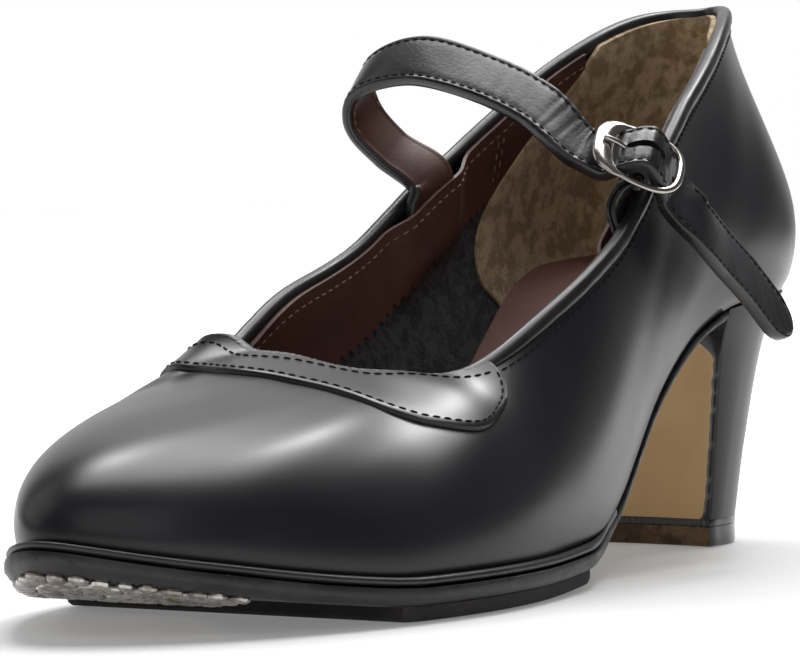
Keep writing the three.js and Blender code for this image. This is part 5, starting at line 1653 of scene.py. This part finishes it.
def dress_packed_nodes() -> None:
    """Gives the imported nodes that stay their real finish."""
    for name, finish in HIDDEN_FINISHES.items():
        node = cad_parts[name]
        for place in node.material_slots:
            place.material = finish.material()
        LOG.info("%s: finished as %s", name, finish.name)


@dataclass
class Studio:
    """Pale floor, soft lights and the camera."""

    azimuth: float = 28.893
    elevation: float = 2.447
    roll: float = -0.487
    place: tuple[float, float, float] = (359.122, -769.017, 73.244)
    focal: float = 3939.0
    centre: tuple[float, float] = (46.478, 29.716)
    picture: tuple[int, int] = (800, 660)
    sensor: float = 36.0
    floor_sink: float = 0.0002
    floor_axis: tuple[float, float, float] = (-0.483, 0.875, 0.0)
    room_axis: tuple[float, float, float] = (-0.55, 0.83, -0.05)
    aim: tuple[float, float, float] = (0.01, -0.05, 0.07)

    def camera(self) -> Piece:
        """The camera, with its small shift."""
        az, el, roll = (math.radians(v) for v in (self.azimuth, self.elevation, self.roll))
        back = Vector((math.sin(az) * math.cos(el), -math.cos(az) * math.cos(el), math.sin(el)))
        right = Vector((0, 0, 1)).cross(back).normalized()
        up = back.cross(right)
        side = right * math.cos(roll) + up * math.sin(roll)
        rise = -right * math.sin(roll) + up * math.cos(roll)
        data = bpy.data.cameras.new("camera")
        data.sensor_width = self.sensor
        data.lens = self.focal / self.picture[0] * self.sensor
        data.shift_x = -self.centre[0] / self.picture[0]
        data.shift_y = self.centre[1] / self.picture[0]
        data.clip_start, data.clip_end = 0.01, 50
        camera = bpy.data.objects.new("camera", data)
        bpy.context.scene.collection.objects.link(camera)
        turn = Matrix((side, rise, back)).transposed()
        camera.matrix_world = Matrix.Translation(Vector(placed(np.array(self.place)))) @ turn.to_4x4()
        bpy.context.scene.camera = camera
        return camera

    def floor(self) -> Piece:
        """A wide pale floor, faintly uneven, glowing with painted light towards the backdrop."""
        rings, sides = np.array([0.02, 0.3, 0.8, 1.6, 3.0, 6.0, 12.0]), 72
        turn = turn_angles(sides)
        points, faces = [(0, 0, 0)], []
        for r in rings:
            points += [(r * math.cos(t), r * math.sin(t), 0) for t in turn]
        for k in range(sides):
            faces.append((0, 1 + k, 1 + (k + 1) % sides))
            for i in range(len(rings) - 1):
                a, b = 1 + i * sides, 1 + (i + 1) * sides
                faces.append((a + k, b + k, b + (k + 1) % sides, a + (k + 1) % sides))
        mesh = bpy.data.meshes.new("floor")
        mesh.from_pydata(points, [], faces)
        mesh.materials.append(self.glowing_floor())
        floor = bpy.data.objects.new("floor", mesh)
        floor.location.z = -self.floor_sink
        bpy.context.scene.collection.objects.link(floor)
        return floor

    def glowing_floor(self) -> Material:
        """The floor's finish with a painted glow: it emits light, faint near the shoe and full towards the
        backdrop.
        """
        made = PALE_FLOOR.material()
        tree = made.node_tree
        shader = next(n for n in tree.nodes if n.type == "BSDF_PRINCIPLED")
        place = wire(tree, "ShaderNodeTexCoord").outputs["Object"]
        axis = wire(tree, "ShaderNodeCombineXYZ", dict(enumerate(self.floor_axis)))
        away = wire(tree, "ShaderNodeVectorMath", {0: place, 1: axis.outputs[0]}, operation="DOT_PRODUCT")
        # painted glow: emission strength rises from 0.18 near the shoe to 1.0 towards the backdrop, so the
        # floor shines without lamp light
        glow = wire(tree, "ShaderNodeMapRange", {
            "Value": away.outputs["Value"], "From Min": 0.1, "From Max": 0.6, "To Min": 0.18, "To Max": 1.0},
            interpolation_type="SMOOTHSTEP")
        tree.links.new(glow.outputs["Result"], shader.inputs["Emission Strength"])
        shader.inputs["Emission Color"].default_value = (1, 1, 1, 1)
        return made

    def lamp(self, name: str, place: tuple[float, float, float], size: tuple[float, float],
             power: float) -> None:
        """A soft rectangular lamp aimed at the shoe."""
        data = bpy.data.lights.new(name, "AREA")
        data.shape = "RECTANGLE"
        data.size, data.size_y = size
        data.energy = power
        lamp = bpy.data.objects.new(name, data)
        lamp.location = place
        lamp.rotation_euler = (Vector(self.aim) - Vector(place)).to_track_quat("-Z", "Y").to_euler()
        bpy.context.scene.collection.objects.link(lamp)

    def build(self) -> None:
        """Sets up the whole studio."""
        self.camera()
        self.floor()
        for name, way, far, size, power in (
                ("overhead", (-0.12, 0.42, 0.9), 1.4, (1.2, 1.0), 17),
                ("over_vamp", (-0.02, 0.64, 0.77), 1.3, (0.2, 0.34), 3.4),
                ("over_toe", (-0.43, 0.42, 0.8), 1.3, (0.18, 0.18), 1.3),
                ("front_fill", (0.35, -0.75, 0.55), 1.6, (1.4, 1.4), 3.5),
                ("left_fill", (-0.85, -0.2, 0.5), 1.5, (1.2, 1.2), 2.5)):
            place = Vector(self.aim) + Vector(way).normalized() * far
            self.lamp(name, tuple(place), size, power)
        bpy.context.scene.world = self.surroundings()
        bpy.context.scene.view_settings.view_transform = "Standard"

    def surroundings(self) -> bpy.types.World:
        """A dark room with a white backdrop behind the shoe."""
        world = bpy.data.worlds.new("studio")
        world.use_nodes = True
        tree = world.node_tree
        sky = next(n for n in tree.nodes if n.type == "BACKGROUND")
        way = wire(tree, "ShaderNodeTexCoord").outputs["Generated"]
        axis = wire(tree, "ShaderNodeCombineXYZ", dict(enumerate(self.room_axis)))
        facing = wire(tree, "ShaderNodeVectorMath", {0: way, 1: axis.outputs[0]}, operation="DOT_PRODUCT")
        level = wire(tree, "ShaderNodeMapRange", {"Value": facing.outputs["Value"], "From Min": 0.72,
                                                  "From Max": 0.93, "To Min": 0.09, "To Max": 1.0},
                     interpolation_type="SMOOTHSTEP")
        tree.links.new(level.outputs["Result"], sky.inputs["Strength"])
        sky.inputs["Color"].default_value = (1, 1, 1, 1)
        return world


def main() -> None:
    """Builds the shoe's looks piece by piece, then the studio."""
    logging.basicConfig(level=logging.INFO, format="%(message)s")
    Studio().build()
    Upper().build()
    Linings().build()
    Sole().build()
    Heel().build()
    buckle = Buckle()
    buckle.build()
    Strap(buckle).build()
    dress_packed_nodes()


if __name__ == "__main__":
    main()
